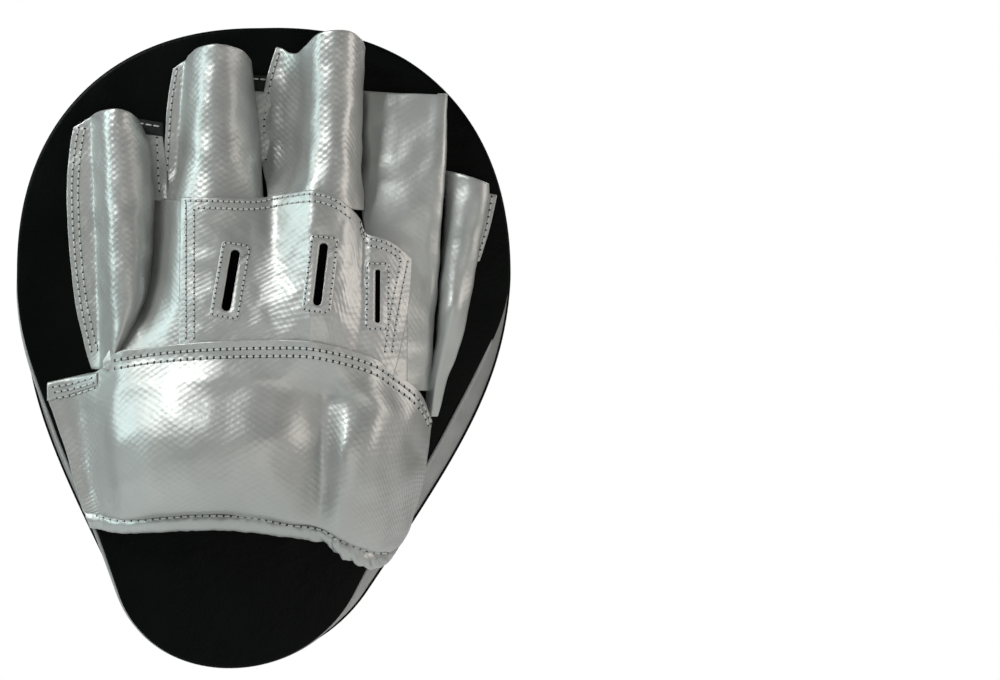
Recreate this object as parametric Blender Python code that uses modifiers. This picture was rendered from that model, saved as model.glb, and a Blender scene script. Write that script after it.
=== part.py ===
"""Boxing focus mitt for the left hand: a padded strike pad with a half glove sewn to its back.

The mitt stands upright. +X is the thumb side, +Z the finger side, +Y the strike face and -Y the back of
the hand. The origin is on the back panel's outer face, at the middle of the pad, where the palm bears.
Every length below is in millimetres; mesh_object turns it into metres.
"""

import math

import bmesh
import bpy
import numpy as np
from mathutils import Matrix, Vector

MM = 0.001
GAP = 0.3  # between pieces that touch
HINGE_GAP = 0.5  # between a finger stall and the panel that it is sewn to

# Pad outline, seen from the back of the hand
PAD_HALF_WIDTH = 102.0
PAD_TOP = 133.0
PAD_BOTTOM = -132.0
WIDEST_Z = 30.0
TOP_EXPONENT = 2.25
BOTTOM_RADIUS = 60.0
TAPER_ANGLE = math.radians(30)  # of the sides from upright, where they meet the bottom arc
TAPER_REACH_TOP = 45.0
TAPER_REACH_BOTTOM = 70.0
BOTTOM_LEAN = -13.0  # the heel leans to the little finger's side
LEAN_EXPONENT = 1.2
TOP_POINTS = 14
TAPER_POINTS = 9
BOTTOM_POINTS = 7

# Pad layers, from the back panel's outer face at Y = 0
SKIN = 1.0
PAD_DEPTH = 47.0
COVER_LIP = 29.0  # Y where the strike cover meets the gusset
COVER_ROUND = 15.0  # edge rounding of the strike cover
ROUND_STEPS = 5
LIP_INSET = 0.4  # of the gusset inside the strike cover
BOARD = 4.0
CORE = 20.0
FOAM_MARGIN = 1.2  # from a skin to the foam inside it
BACK_INSET_TOP = 2.6
BACK_INSET_SIDE = 8.5
BACK_INSET_BOTTOM = 1.4
INSET_START_Z = 25.0
INSET_END_Z = -35.0
HEEL_START_Z = -60.0
HEEL_END_Z = -130.0
PIPING_RADIUS = 0.9

# Target dot on the strike face
DOT_DIAMETER = 51.0
DOT_Z = 37.0
DOT_THICKNESS = 0.6
DOT_SIDES = 48

# Glove
LEATHER = 1.2
LINER = 1.0
ARCH_EXPONENT = 2.4
ARCH_STEPS = 12
KNUCKLE_HEIGHT = 27.0
WRIST_HEIGHT = 35.0
CUFF_HEIGHT = 42.0
CUFF_END_HEIGHT = 31.0
HAND_LEFT = -41.5
HAND_RIGHT = 61.0
HAND_TOP = 60.0
INDEX_LEFT = 44.2
INDEX_SEAM = 46.5  # top edge of the hand panel beside the index stall
INDEX_SEAM_FALL = 10.0  # from there to the panel's thumb side
STEP_WIDTH = 16.0
STEP_MARGIN = 2.0
FOOT = -(GAP + LINER + GAP + LEATHER)  # Y of a flange's outer face, over the palm layer
LAYER_CLEARANCE = 0.9  # between curved layers, whose facets differ
PATCH_LEFT = -31.0
PATCH_RIGHT = 56.0
PATCH_MARGIN = 2.0
VENT_FRAME_MARGIN = 5.0
VENT_FRAME_THICKNESS = 0.8
VENT_FRAME_ROWS = 3
VENT_FRAME_COLUMNS = 4
HAND_ROWS = 5
PATCH_COLUMNS = 10
# Each vent: name, centre x, centre z, length, width, lean in degrees
VENTS = (
    ("ring", -8.8, 26.9, 24.6, 3.6, 10.0),
    ("middle", 27.0, 29.2, 24.8, 3.4, 6.8),
    ("index", 48.9, 20.8, 21.2, 2.2, 0.4),
)

# Each stall: name, hinge z, top z, tube left and right at the hinge, at the top, height at each, flange
STALLS = (
    ("pinky", 41.0, 95.0, (-66.8, -43.6), (-69.2, -48.6), (21.0, 17.0), -9.0),
    ("ring", HAND_TOP + HINGE_GAP, 120.5, (-33.6, -0.8), (-30.1, -3.0), (KNUCKLE_HEIGHT - 1, 20.5), -5.5),
    ("middle", HAND_TOP + HINGE_GAP, 125.5, (5.2, 41.6), (9.0, 42.6), (KNUCKLE_HEIGHT, 24.0), -4.5),
    ("index", INDEX_SEAM + 2 * HINGE_GAP, 103.0, (INDEX_LEFT, 73.4), (44.8, 75.6), (17.0, 10.0), 0.0),
    ("thumb", 14.5, 70.0, (74.4, 84.6), (77.0, 92.4), (14.5, 10.5), 3.5),
)
STALL_ROWS = 3
# Left and right of each sleeve that runs on from its stall, where it meets the cuff
SLEEVE_ENDS = {"pinky": (-63.0, -50.0), "index": (62.0, 68.0), "thumb": (70.5, 75.5)}
SLEEVE_CLEARANCE = 1.5
SLEEVE_RISE = 4.0  # from the cuff's edge to a sleeve's end

# Cuff: its top edge from the little finger's side to the thumb's, and its lower end
CUFF_EDGE_X = (-87.0, -65.0, -54.0, 5.0, 38.0, 53.0, 64.0, 70.5)
CUFF_EDGE_Z = (-14.5, -9.0, -2.0, 2.5, -1.0, -8.0, -17.0, -30.0)
CUFF_BOTTOM = -77.0
CUFF_LEFT_MARGIN = 2.0  # from the back panel's edge
CUFF_RIGHT_TOP = 70.5
CUFF_RIGHT_BOTTOM = 55.0
CUFF_FOAM = 6.0
FOAM_TRIM = 2.0  # from the cuff's edges to its foam's
CUFF_ROWS = 5
BINDING_WIDTH = 5.0
TAB_WIDTH = 4.5
TAB_LENGTH = 17.0

# Foam grip under the palm
GRIP_HALF_WIDTH = 26.0
GRIP_HALF_HEIGHT = 17.0
GRIP_Z = -30.0
GRIP_HEIGHT = 8.0

SILVER = ((0.36, 0.39, 0.37, 1), 0.32, 0.6)
BLACK = ((0.012, 0.014, 0.013, 1), 0.42, 0.0)
WHITE = ((0.72, 0.74, 0.70, 1), 0.55, 0.0)
CLOTH = ((0.02, 0.02, 0.02, 1), 0.85, 0.0)
FOAM = ((0.20, 0.20, 0.19, 1), 0.9, 0.0)
BOARD_GREY = ((0.08, 0.08, 0.08, 1), 0.7, 0.0)
THREAD_GREY = ((0.45, 0.46, 0.44, 1), 0.6, 0.0)


def clear_scene():
    for thing in list(bpy.data.objects):
        bpy.data.objects.remove(thing, do_unlink=True)


def collection(name):
    made = bpy.data.collections.new(name)
    bpy.context.scene.collection.children.link(made)
    return made


def material(name, look):
    colour, roughness, metallic = look
    made = bpy.data.materials.new(name)
    made.use_nodes = True
    shader = made.node_tree.nodes["Principled BSDF"]
    shader.inputs["Base Color"].default_value = colour
    shader.inputs["Roughness"].default_value = roughness
    shader.inputs["Metallic"].default_value = metallic
    return made


def primitive(name):
    """The primitive just added, renamed and out of the scene's own collection."""
    made = bpy.context.object
    made.name = name
    for holder in list(made.users_collection):
        holder.objects.unlink(made)
    return made


def place(thing, look, parent=None):
    """Puts an object in the mitt's collection, with a material of its own."""
    PARTS.objects.link(thing)
    thing.data.materials.append(material(thing.name, look))
    if parent:
        thing.parent = parent
        thing.location = -Vector(parent.location)
    return thing


def mesh_object(name, rows, look, closed=False, caps=(), parent=None):
    """A surface through rows of points, whose rows close on themselves where closed is set."""
    mesh = bpy.data.meshes.new(name)
    shape = bmesh.new()
    grid = [[shape.verts.new([n * MM for n in point]) for point in row] for row in rows]
    for low, high in zip(grid, grid[1:]):
        ends = list(zip(low, high))
        if closed:
            ends.append(ends[0])
        for (a, d), (b, c) in zip(ends, ends[1:]):
            shape.faces.new((a, b, c, d))
    if "first" in caps:
        shape.faces.new(grid[0][::-1])
    if "last" in caps:
        shape.faces.new(grid[-1])
    shape.to_mesh(mesh)
    shape.free()
    mesh.shade_smooth()
    mesh.set_sharp_from_angle(angle=math.radians(40))
    return place(bpy.data.objects.new(name, mesh), look, parent)


def thicken(thing, thickness):
    """Gives a surface its thickness, on the side that its faces point away from."""
    solid = thing.modifiers.new("thickness", "SOLIDIFY")
    solid.thickness = thickness * MM
    solid.offset = -1
    return thing


def flat_piece(name, outline, y_near, y_far, look, parent=None):
    """A flat piece with an outline in X and Z, from y_near to y_far."""
    curve = bpy.data.curves.new(name, "CURVE")
    curve.dimensions = "2D"
    curve.fill_mode = "BOTH"
    curve.extrude = (y_far - y_near) / 2 * MM
    spline = curve.splines.new("POLY")
    spline.points.add(len(outline) - 1)
    spline.use_cyclic_u = True
    for point, (x, z) in zip(spline.points, outline):
        point.co = (x * MM, z * MM, 0, 1)
    thing = place(bpy.data.objects.new(name, curve), look)
    thing.rotation_euler = (math.pi / 2, 0, 0)
    thing.location = (0, (y_near + y_far) / 2 * MM, 0)
    if parent:
        thing.parent = parent
        thing.location -= Vector(parent.location)
    return thing


def smooth_step(value, start, end):
    share = min(max((value - start) / (end - start), 0), 1)
    return share * share * (3 - 2 * share)


def half_outline():
    """Points (half width, z) down one side of the pad: a superellipse, a taper and an arc."""
    top_height = PAD_TOP - WIDEST_Z
    points = []
    for i in range(TOP_POINTS + 1):
        angle = math.pi / 2 * (1 - i / TOP_POINTS)
        points.append(
            (
                PAD_HALF_WIDTH * math.cos(angle) ** (2 / TOP_EXPONENT) if i else 0.0,
                WIDEST_Z + top_height * math.sin(angle) ** (2 / TOP_EXPONENT),
            )
        )
    arc_centre = PAD_BOTTOM + BOTTOM_RADIUS
    down = Vector((-math.sin(TAPER_ANGLE), -math.cos(TAPER_ANGLE)))
    start = Vector((PAD_HALF_WIDTH, WIDEST_Z))
    end = Vector((0, arc_centre)) + BOTTOM_RADIUS * Vector((math.cos(TAPER_ANGLE), -math.sin(TAPER_ANGLE)))
    for i in range(1, TAPER_POINTS + 1):
        t = i / TAPER_POINTS
        point = (
            (1 - t) ** 3 * start
            + 3 * (1 - t) ** 2 * t * (start + Vector((0, -TAPER_REACH_TOP)))
            + 3 * (1 - t) * t**2 * (end - down * TAPER_REACH_BOTTOM)
            + t**3 * end
        )
        points.append(tuple(point))
    for i in range(1, BOTTOM_POINTS + 1):
        angle = TAPER_ANGLE + (math.pi / 2 - TAPER_ANGLE) * i / BOTTOM_POINTS
        points.append((BOTTOM_RADIUS * math.cos(angle), arc_centre - BOTTOM_RADIUS * math.sin(angle)))
    points[-1] = (0.0, PAD_BOTTOM)
    return points


def lean(z):
    return BOTTOM_LEAN * (min(z - WIDEST_Z, 0) / (PAD_BOTTOM - WIDEST_Z)) ** LEAN_EXPONENT


def back_inset(z):
    """How far the back panel's edge is inside the strike cover's: most beside the cuff."""
    widening = (BACK_INSET_SIDE - BACK_INSET_TOP) * smooth_step(-z, -INSET_START_Z, -INSET_END_Z)
    narrowing = (BACK_INSET_SIDE - BACK_INSET_BOTTOM) * smooth_step(-z, -HEEL_START_Z, -HEEL_END_Z)
    return BACK_INSET_TOP + widening - narrowing


def outline(inset):
    """The pad's closed outline, clockwise from the top as the hand's back shows it, moved in by inset(z)."""
    side = half_outline()
    loop = [(w + lean(z), z) for w, z in side] + [(lean(z) - w, z) for w, z in side[-2:0:-1]]
    moved = []
    for i, (x, z) in enumerate(loop):
        before, after = Vector(loop[i - 1]), Vector(loop[(i + 1) % len(loop)])
        along = (after - before).normalized()
        inward = Vector((along.y, -along.x))
        moved.append(tuple(Vector((x, z)) + inward * inset(z)))
    return moved


def half_width(z):
    side = half_outline()
    return float(np.interp(-z, [-point[1] for point in side], [point[0] for point in side]))


def ring(inset, y):
    return [(x, y, z) for x, z in outline(inset)]


def even(value):
    return lambda z: value


def behind(extra):
    return lambda z: back_inset(z) + extra


def rounded_rings(margin, steps):
    """The strike face's rounded edge, margin inside the cover."""
    rings = []
    for i in range(steps + 1):
        angle = math.pi / 2 * i / steps
        inset = margin + COVER_ROUND * (1 - math.cos(angle))
        rings.append(ring(even(inset), PAD_DEPTH - margin - COVER_ROUND * (1 - math.sin(angle))))
    return rings


def build_pad():
    gusset_back = SKIN + GAP

    flat_piece("back_panel", outline(back_inset), 0, SKIN, BLACK)
    gusset = mesh_object(
        "side_gusset",
        [ring(back_inset, gusset_back), ring(even(LIP_INSET), COVER_LIP - GAP)],
        SILVER,
        closed=True,
    )
    thicken(gusset, SKIN)

    cover_rings = [ring(even(0), COVER_LIP)] + rounded_rings(0, ROUND_STEPS)
    cover = mesh_object("face_cover", cover_rings, BLACK, closed=True, caps=("last",))
    thicken(cover, SKIN)

    margin = SKIN + FOAM_MARGIN
    board_start = SKIN + GAP
    flat_piece("backing_board", outline(behind(margin)), board_start, board_start + BOARD, BOARD_GREY)
    core_start = board_start + BOARD + GAP
    core_end = core_start + CORE
    mesh_object(
        "core_foam",
        [ring(behind(margin), core_start), ring(even(BACK_INSET_TOP + margin), core_end)],
        FOAM,
        closed=True,
        caps=("first", "last"),
    )
    face_start = core_end + GAP
    face_rings = [ring(even(LIP_INSET + margin), face_start)] + rounded_rings(margin, ROUND_STEPS - 1)
    mesh_object("face_foam", face_rings, FOAM, closed=True, caps=("first", "last"))

    piping = bpy.data.curves.new("back_piping", "CURVE")
    piping.dimensions = "3D"
    piping.bevel_depth = PIPING_RADIUS * MM
    piping.bevel_resolution = 2
    spline = piping.splines.new("POLY")
    route = ring(behind(-PIPING_RADIUS - GAP), SKIN / 2 + GAP)
    spline.points.add(len(route) - 1)
    spline.use_cyclic_u = True
    for point, place_of in zip(spline.points, route):
        point.co = (*[n * MM for n in place_of], 1)
    place(bpy.data.objects.new("back_piping", piping), THREAD_GREY)


def build_dot():
    """A flat disc that stands proud of the strike face."""
    bpy.ops.mesh.primitive_cylinder_add(
        vertices=DOT_SIDES,
        radius=DOT_DIAMETER / 2 * MM,
        depth=DOT_THICKNESS * MM,
        location=(0, (PAD_DEPTH + GAP + DOT_THICKNESS / 2) * MM, DOT_Z * MM),
        rotation=(math.pi / 2, 0, 0),
    )
    place(primitive("target_dot"), WHITE)


def signed_power(value, power):
    return math.copysign(abs(value) ** power, value)


def arch_point(section, u, offset):
    """A point on an arch at u from 0, the little finger's side, to 1, moved out by offset."""
    z, left, right, height = section
    middle, half = (left + right) / 2, (right - left) / 2 + offset
    power = 2 / ARCH_EXPONENT
    x = middle - half * signed_power(math.cos(math.pi * u), power)
    y = FOOT - (height + offset) * max(math.sin(math.pi * u), 0) ** power
    return (x, y, z)


def arch_u(section, x):
    """The u at which an arch passes x."""
    _, left, right, _ = section
    share = ((left + right) / 2 - x) / ((right - left) / 2)
    return math.acos(signed_power(min(max(share, -1), 1), ARCH_EXPONENT / 2)) / math.pi


def arch_row(section, offset=0, flange=0):
    """One section of an arch, with a flange that lies flat on the side that its sign gives."""
    row = [arch_point(section, i / ARCH_STEPS, offset) for i in range(ARCH_STEPS + 1)]
    if flange < 0:
        row.insert(0, (row[0][0] + flange, row[0][1], row[0][2]))
    if flange > 0:
        row.append((row[-1][0] + flange, row[-1][1], row[-1][2]))
    return row


def mix(a, b, share):
    return a + (b - a) * share


def hinge(name, z, height):
    """An empty on a stall's flex axis, at its outer face."""
    empty = bpy.data.objects.new(name, None)
    PARTS.objects.link(empty)
    empty.location = (0, (FOOT - height) * MM, z * MM)
    return empty


def build_stalls():
    for name, low, high, (left, right), (left_top, right_top), (height, height_top), flange in STALLS:
        axis = hinge(name + "_flex_axis", low, height)
        start = low + HINGE_GAP
        rows = []
        for i in range(STALL_ROWS + 1):
            share = i / STALL_ROWS
            section = (
                mix(start, high, share),
                mix(left, left_top, share),
                mix(right, right_top, share),
                mix(height, height_top, share),
            )
            rows.append(arch_row(section, flange=flange))
        stall = mesh_object(name + "_stall", rows, SILVER, parent=axis)
        thicken(stall, LEATHER)
        edge_left, edge_right = min(flange, 0), max(flange, 0)
        lining = [
            (left + edge_left, start),
            (right + edge_right, start),
            (right_top + edge_right, high),
            (left_top + edge_left, high),
        ]
        flat_piece(name + "_stall_lining", lining, -GAP - LINER, -GAP, CLOTH, parent=axis)


def build_cutters():
    """One cutter for each vent, through the patch and the hand panel."""
    made = []
    for name, x, z, length, width, angle in VENTS:
        bpy.ops.mesh.primitive_cube_add(size=1)
        cutter = primitive("cutter_vent_" + name)
        cutter.scale = (width * MM, WRIST_HEIGHT * MM, length * MM)
        cutter.location = (x * MM, -(KNUCKLE_HEIGHT + WRIST_HEIGHT / 4) * MM, z * MM)
        cutter.rotation_euler = (0, math.radians(angle), 0)
        cutter.hide_render = True
        cutter.display_type = "WIRE"
        CUTTERS.objects.link(cutter)
        made.append(cutter)
    return made


def cut(thing, cutters):
    for cutter in cutters:
        slot = thing.modifiers.new(cutter.name, "BOOLEAN")
        slot.object = cutter
        slot.operation = "DIFFERENCE"


def cuff_edge(x):
    return float(np.interp(x, CUFF_EDGE_X, CUFF_EDGE_Z))


def hand_edge(x):
    """Top edge of the hand panel: level over ring and middle, lower beside the index stall."""
    places = (INDEX_LEFT - STEP_WIDTH, INDEX_LEFT - STEP_MARGIN, HAND_RIGHT)
    return float(np.interp(x, places, (HAND_TOP, INDEX_SEAM, INDEX_SEAM - INDEX_SEAM_FALL)))


def hand_section(z):
    share = smooth_step(z, HAND_TOP, 0)
    return (z, HAND_LEFT, HAND_RIGHT, mix(KNUCKLE_HEIGHT, WRIST_HEIGHT, share))


def hand_point(x, z, offset):
    section = hand_section(z)
    return arch_point(section, arch_u(section, x), offset)


def hand_rows(offset):
    """The hand's surface from the cuff's seam up to the stalls' seam."""
    rows = []
    for i in range(HAND_ROWS + 1):
        row = []
        for k in range(ARCH_STEPS + 1):
            x = arch_point(hand_section(0), k / ARCH_STEPS, 0)[0]
            z = mix(cuff_edge(x) + HINGE_GAP, hand_edge(x), i / HAND_ROWS)
            row.append(arch_point(hand_section(z), k / ARCH_STEPS, offset))
        rows.append(row)
    return rows


def patch_rows(offset):
    rows = []
    for i in range(HAND_ROWS + 1):
        row = []
        for k in range(PATCH_COLUMNS + 1):
            x = mix(PATCH_LEFT, PATCH_RIGHT, k / PATCH_COLUMNS)
            z = mix(cuff_edge(x) + PATCH_MARGIN, hand_edge(x) - PATCH_MARGIN, i / HAND_ROWS)
            row.append(hand_point(x, z, offset))
        rows.append(row)
    return rows


def vent_frame_rows(vent, offset):
    """A leaning rectangle around a vent, on the hand's surface."""
    _, x, z, length, width, angle = vent
    across = width / 2 + VENT_FRAME_MARGIN
    along = length / 2 + VENT_FRAME_MARGIN
    tilt = math.tan(math.radians(angle))
    rows = []
    for i in range(VENT_FRAME_ROWS + 1):
        rise = mix(-along, along, i / VENT_FRAME_ROWS)
        middle = x + rise * tilt
        spread = [mix(-across, across, k / VENT_FRAME_COLUMNS) for k in range(VENT_FRAME_COLUMNS + 1)]
        rows.append([hand_point(middle + side, z + rise, offset) for side in spread])
    return rows


def build_hand(cutters):
    panel = thicken(mesh_object("hand_back_panel", hand_rows(0), SILVER), LEATHER)
    cut(panel, cutters)
    lining = thicken(mesh_object("hand_lining", hand_rows(-LEATHER - LAYER_CLEARANCE), CLOTH), LINER)
    cut(lining, cutters)
    patch_offset = LEATHER + LAYER_CLEARANCE
    patch = thicken(mesh_object("knuckle_patch", patch_rows(patch_offset), SILVER), LEATHER)
    cut(patch, cutters)
    frame_offset = patch_offset + VENT_FRAME_THICKNESS + LAYER_CLEARANCE
    for vent, cutter in zip(VENTS, cutters):
        frame = mesh_object("vent_frame_" + vent[0], vent_frame_rows(vent, frame_offset), SILVER)
        cut(thicken(frame, VENT_FRAME_THICKNESS), [cutter])


def build_side_panels():
    """The stretches of the little finger's, index and thumb sleeves between their stalls and the cuff."""
    for name, low, _, (left, right), _, (height, _), flange in STALLS:
        if name not in SLEEVE_ENDS:
            continue
        left_low, right_low = SLEEVE_ENDS[name]
        left = max(left, HAND_RIGHT + SLEEVE_CLEARANCE) if left > 0 else left
        bottom = cuff_edge((left_low + right_low) / 2) + SLEEVE_RISE
        rows = []
        for i in range(STALL_ROWS + 1):
            share = i / STALL_ROWS
            section = (mix(bottom, low, share), mix(left_low, left, share), mix(right_low, right, share), height)
            rows.append(arch_row(section, flange=flange))
        thicken(mesh_object(name + "_side_panel", rows, SILVER), LEATHER)


def cuff_sides(z):
    left = lean(z) - half_width(z) + back_inset(z) + CUFF_LEFT_MARGIN
    share = smooth_step(z, CUFF_EDGE_Z[-1], CUFF_BOTTOM)
    return left, mix(CUFF_RIGHT_TOP, CUFF_RIGHT_BOTTOM, share)


def cuff_height(z):
    middle = (CUFF_EDGE_Z[3] + CUFF_BOTTOM) / 2
    if z > middle:
        return mix(CUFF_HEIGHT, WRIST_HEIGHT, smooth_step(z, middle, CUFF_EDGE_Z[3]))
    return mix(CUFF_HEIGHT, CUFF_END_HEIGHT, smooth_step(z, middle, CUFF_BOTTOM))


def cuff_rows(offset, end_trim=0.0):
    """The cuff's surface, from its lower end up to its top edge."""
    rows = []
    for i in range(CUFF_ROWS + 1):
        share = i / CUFF_ROWS
        row = []
        for k in range(ARCH_STEPS + 1):
            u = k / ARCH_STEPS
            left, right = cuff_sides(-15)
            x_top = arch_point((0, left, right, 1), u, 0)[0]
            z = mix(CUFF_BOTTOM + end_trim, cuff_edge(x_top) - end_trim, share)
            row.append(arch_point((z, *cuff_sides(z), cuff_height(z)), u, offset))
        rows.append(row)
    return rows


def moved_in(rows, distance):
    """The same surface moved in by distance along its own normals."""
    grid = np.array(rows)
    across = np.gradient(grid, axis=1)
    along = np.gradient(grid, axis=0)
    normals = np.cross(along, across)
    normals /= np.linalg.norm(normals, axis=2, keepdims=True)
    return (grid + normals * distance).tolist()


def build_cuff():
    thicken(mesh_object("cuff_cover", cuff_rows(0), SILVER), LEATHER)
    foam_rows = cuff_rows(-LEATHER - LAYER_CLEARANCE, end_trim=FOAM_TRIM)
    thicken(mesh_object("cuff_foam", foam_rows, FOAM), CUFF_FOAM)
    lining_rows = moved_in(foam_rows, CUFF_FOAM + LAYER_CLEARANCE)
    thicken(mesh_object("cuff_lining", lining_rows, CLOTH), LINER)

    end, above = cuff_rows(LEATHER + GAP)[:2]
    share = BINDING_WIDTH * CUFF_ROWS / (CUFF_EDGE_Z[3] - CUFF_BOTTOM)
    inner = [tuple(Vector(a).lerp(Vector(b), share)) for a, b in zip(end, above)]
    thicken(mesh_object("cuff_binding", [end, inner], SILVER), LEATHER)

    start = cuff_sides(CUFF_EDGE_Z[0])[0]
    edge = [(x, cuff_edge(x) + HINGE_GAP) for x in (start, start + TAB_LENGTH)]
    tab = edge + [(x, z + TAB_WIDTH) for x, z in reversed(edge)]
    flat_piece("cuff_side_tab", tab, -GAP - LEATHER, -GAP, SILVER)


def build_grip():
    """A foam pad under the palm, with its edge rounded off."""
    bpy.ops.mesh.primitive_cube_add(size=1)
    grip = primitive("palm_grip")
    size = Vector((2 * GRIP_HALF_WIDTH, GRIP_HEIGHT, 2 * GRIP_HALF_HEIGHT)) * MM
    grip.data.transform(Matrix.Diagonal((*size, 1)))
    grip.location = (0, -(GAP + GRIP_HEIGHT / 2) * MM, GRIP_Z * MM)
    rounding = grip.modifiers.new("rounding", "BEVEL")
    rounding.width = GRIP_HEIGHT / 3 * MM
    rounding.segments = 2
    place(grip, BLACK)


clear_scene()
PARTS = collection("focus_mitt")
CUTTERS = collection("cutters")
build_pad()
build_dot()
build_stalls()
VENT_CUTTERS = build_cutters()
build_hand(VENT_CUTTERS)
build_side_panels()
build_cuff()
build_grip()
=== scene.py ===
import math

import bmesh
import bpy
import numpy as np
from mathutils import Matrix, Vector, noise
from mathutils.bvhtree import BVHTree


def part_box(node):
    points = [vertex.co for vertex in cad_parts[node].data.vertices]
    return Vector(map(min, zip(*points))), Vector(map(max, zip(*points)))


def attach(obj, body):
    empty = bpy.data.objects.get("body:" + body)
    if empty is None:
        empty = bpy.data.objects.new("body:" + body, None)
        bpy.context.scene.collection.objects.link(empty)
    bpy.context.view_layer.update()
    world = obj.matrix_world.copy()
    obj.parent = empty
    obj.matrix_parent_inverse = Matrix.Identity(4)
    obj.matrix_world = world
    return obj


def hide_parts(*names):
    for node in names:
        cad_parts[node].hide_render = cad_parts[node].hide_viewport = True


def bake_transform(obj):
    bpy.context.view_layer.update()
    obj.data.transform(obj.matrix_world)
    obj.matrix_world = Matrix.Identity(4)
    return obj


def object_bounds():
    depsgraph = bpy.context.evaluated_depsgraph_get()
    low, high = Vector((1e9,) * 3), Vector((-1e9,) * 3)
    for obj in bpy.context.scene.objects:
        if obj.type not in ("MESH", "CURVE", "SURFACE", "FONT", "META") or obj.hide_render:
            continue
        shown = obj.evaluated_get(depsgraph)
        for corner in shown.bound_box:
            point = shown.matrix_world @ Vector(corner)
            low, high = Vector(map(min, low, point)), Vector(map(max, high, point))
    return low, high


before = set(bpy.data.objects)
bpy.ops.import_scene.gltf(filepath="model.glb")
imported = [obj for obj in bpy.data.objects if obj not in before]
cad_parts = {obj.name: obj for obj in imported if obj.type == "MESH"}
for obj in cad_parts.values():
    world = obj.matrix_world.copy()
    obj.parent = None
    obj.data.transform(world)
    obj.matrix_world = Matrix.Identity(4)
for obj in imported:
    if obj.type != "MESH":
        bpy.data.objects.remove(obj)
CAD_BOX = [list(corner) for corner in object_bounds()]

# Lengths are in millimetres until a mesh is made. The glove is drawn as a pattern on the plane of the
# pad's widest outline, and each point is brought forward from there to its own depth along its line to EYE.
MM = 0.001
PATTERN_Y = 30.0
EYE = Vector((97.5, -1020.0, 3.4))
PATTERN_X = 1.6  # of the pad's middle on the pattern
SENSOR = 36.0
FRAME_WIDTH = 420.0  # what the picture takes in on the pattern's plane
LEATHER = 1.2
CLOTH = 0.8
WELD = 1e-6  # metres between points that are one
CHECK_WIDTH, CHECK_HEIGHT = 2.1, 1.35  # of the embossed checks

# The pad's outline, as the CAD draws it
WIDEST_Z = 30.0
TOP_EXPONENT = 2.25
BOTTOM_RADIUS = 60.0
TAPER_ANGLE = math.radians(30)
TAPER_REACH_TOP = 45.0
TAPER_REACH_BOTTOM = 70.0
BOTTOM_LEAN = -13.0
LEAN_EXPONENT = 1.2
BACK_INSET_TOP = 2.6
BACK_INSET_SIDE = 8.5
BACK_INSET_BOTTOM = 1.4
INSET_START_Z = 25.0
INSET_END_Z = -35.0
HEEL_START_Z = -60.0
HEEL_END_Z = -130.0


def at(x, z, y):
    """The point at depth y that the eye sees at x, z of the pattern."""
    share = (y - EYE.y) / (PATTERN_Y - EYE.y)
    return (EYE.x + (x - PATTERN_X - EYE.x) * share, y, EYE.z + (z - EYE.z) * share)


# ---------------------------------------------------------------- materials


class Nodes:
    """Builds a material's node tree with short calls."""

    def __init__(self, name):
        self.material = bpy.data.materials.new(name)
        self.material.use_nodes = True
        self.tree = self.material.node_tree
        self.shader = self.tree.nodes["Principled BSDF"]

    def add(self, kind, inputs=(), **settings):
        node = self.tree.nodes.new(kind)
        for key, value in settings.items():
            setattr(node, key, value)
        for key, value in dict(inputs).items():
            self.put(node.inputs[key], value)
        return node

    def put(self, socket, value):
        if isinstance(value, bpy.types.NodeSocket):
            self.tree.links.new(value, socket)
        else:
            socket.default_value = value

    def place(self):
        return self.add("ShaderNodeTexCoord").outputs["Object"]

    def math(self, operation, *values):
        node = self.add("ShaderNodeMath", enumerate(values), operation=operation)
        return node.outputs[0]

    def noise(self, vector, scale, detail=3.0, roughness=0.55):
        inputs = {"Vector": vector, "Scale": scale, "Detail": detail, "Roughness": roughness}
        return self.add("ShaderNodeTexNoise", inputs).outputs["Fac"]

    def ramp(self, value, low, high, a=0.0, b=1.0):
        inputs = {"Value": value, "From Min": low, "From Max": high, "To Min": a, "To Max": b}
        return self.add("ShaderNodeMapRange", inputs).outputs["Result"]

    def blend(self, share, a, b):
        node = self.add("ShaderNodeMix", data_type="RGBA")
        self.put(node.inputs["Factor"], share)
        self.put(node.inputs["A"], a)
        self.put(node.inputs["B"], b)
        return node.outputs["Result"]

    def bump(self, height, distance, strength=1.0, normal=None):
        inputs = {"Height": height, "Distance": distance, "Strength": strength}
        if normal:
            inputs["Normal"] = normal
        return self.add("ShaderNodeBump", inputs).outputs["Normal"]

    def set(self, **inputs):
        for key, value in inputs.items():
            self.put(self.shader.inputs[key.replace("_", " ")], value)
        return self.material


def toned(colour, share):
    return tuple(c * share for c in colour[:3]) + (1,)


CHECK_HOLLOW_SHADE = (0.22, 0.25, 0.24, 1)  # painted shade: the colour that the hollows of the embossed checks are darkened towards


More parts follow.
